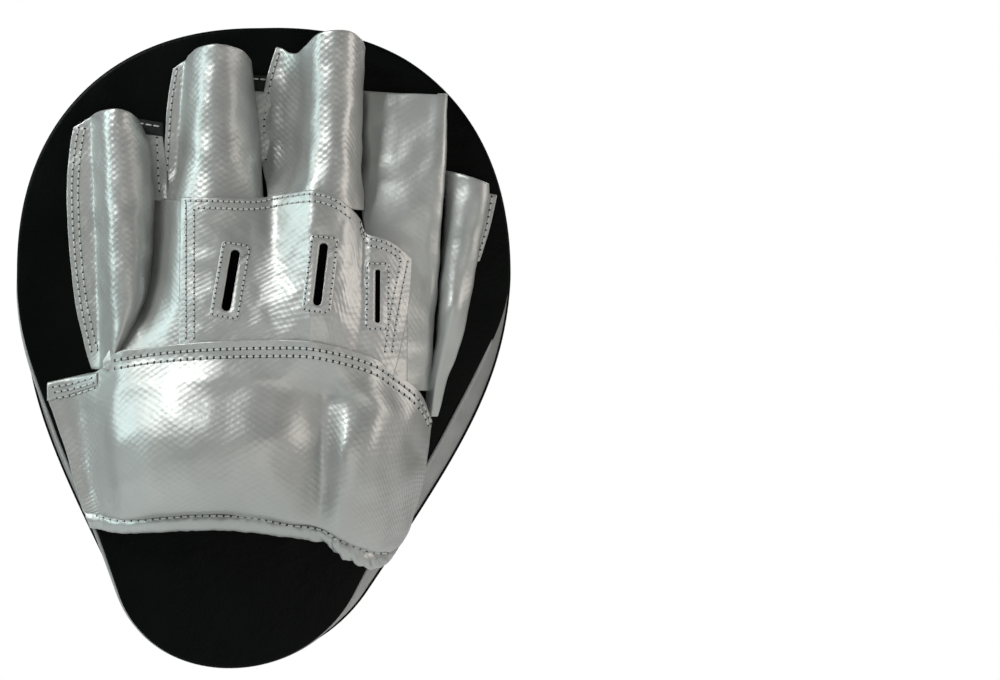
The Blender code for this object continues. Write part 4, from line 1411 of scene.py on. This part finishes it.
# Each lamp: place and size in metres, power and colour. All of them point at the middle.
LAMPS = {
    "key_left": ((-0.85, -0.80, 0.92), (0.5, 0.5), 12, (1.0, 1.0, 1.0)),
    "cool_left": ((-1.4, -0.15, 0.4), (0.6, 0.8), 7, (0.8, 1.0, 1.0)),
    "warm_right": ((1.4, -0.30, 0.3), (0.8, 0.8), 6, (1.0, 0.9, 0.85)),
    "front": ((0.4, -1.5, -0.2), (1.1, 0.9), 3, (1.0, 0.95, 0.9)),
    "behind": ((0.5, 1.3, 0.9), (1.2, 1.0), 12, (1, 1, 1)),
}


def make_lamps():
    for name, (place, size, power, colour) in LAMPS.items():
        lamp = bpy.data.lights.new(name, "AREA")
        lamp.shape = "RECTANGLE"
        lamp.size, lamp.size_y = size
        lamp.energy = power
        lamp.color = colour
        thing = bpy.data.objects.new(name, lamp)
        bpy.context.scene.collection.objects.link(thing)
        thing.location = place
        thing.rotation_euler = (-Vector(place)).to_track_quat("-Z", "Y").to_euler()


def make_floor():
    bpy.ops.mesh.primitive_plane_add(size=FLOOR_SIZE, location=(0, 0, CAD_BOX[0][2] - FLOOR_DROP))
    floor = bpy.context.object
    floor.name = "floor"
    n = Nodes("floor_paper")
    tone = n.blend(n.noise(n.place(), 3.0), (0.86, 0.86, 0.86, 1), (0.9, 0.9, 0.9, 1))
    floor.data.materials.append(n.set(Base_Color=tone, Roughness=0.8))


def make_world():
    world = bpy.data.worlds.new("studio")
    world.use_nodes = True
    tree = world.node_tree
    background = tree.nodes["Background"]
    path = tree.nodes.new("ShaderNodeLightPath")
    soft = tree.nodes.new("ShaderNodeMapRange")
    soft.inputs["To Min"].default_value = GLOSSY_LIGHT
    soft.inputs["To Max"].default_value = MATT_LIGHT
    tree.links.new(path.outputs["Is Diffuse Ray"], soft.inputs["Value"])
    seen = tree.nodes.new("ShaderNodeMapRange")
    seen.inputs["To Max"].default_value = BACKDROP
    tree.links.new(path.outputs["Is Camera Ray"], seen.inputs["Value"])
    tree.links.new(soft.outputs["Result"], seen.inputs["To Min"])
    tree.links.new(seen.outputs["Result"], background.inputs["Strength"])
    background.inputs["Color"].default_value = (1, 1, 1, 1)
    bpy.context.scene.world = world
    bpy.context.scene.view_settings.view_transform = "Standard"


def make_camera():
    camera = bpy.data.cameras.new("camera")
    camera.sensor_width = SENSOR
    camera.lens = SENSOR * (PATTERN_Y - EYE.y) / FRAME_WIDTH
    camera.clip_start = 0.01
    thing = bpy.data.objects.new("camera", camera)
    bpy.context.scene.collection.objects.link(thing)
    thing.location = EYE * MM
    thing.rotation_euler = (math.pi / 2, 0, 0)
    bpy.context.scene.camera = thing


make_camera()
make_floor()
make_world()
make_lamps()
make_cover()
make_gusset()
make_back_panel()
make_piping()
make_dot()
STALL_PIECES = make_stalls()
PATCH, FRAMES = make_hand()
CUFF = make_cuff()
BINDING = make_binding()
STRIP_PIECES = make_strips()
TAB = make_tab(CUFF)
make_palm_lining()
HEM_PIECES = make_hems()
make_seams(STALL_PIECES, PATCH, FRAMES, CUFF, BINDING, STRIP_PIECES, TAB, HEM_PIECES)
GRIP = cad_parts["palm_grip"]
GRIP.data.materials.clear()
GRIP.data.materials.append(BLACK)
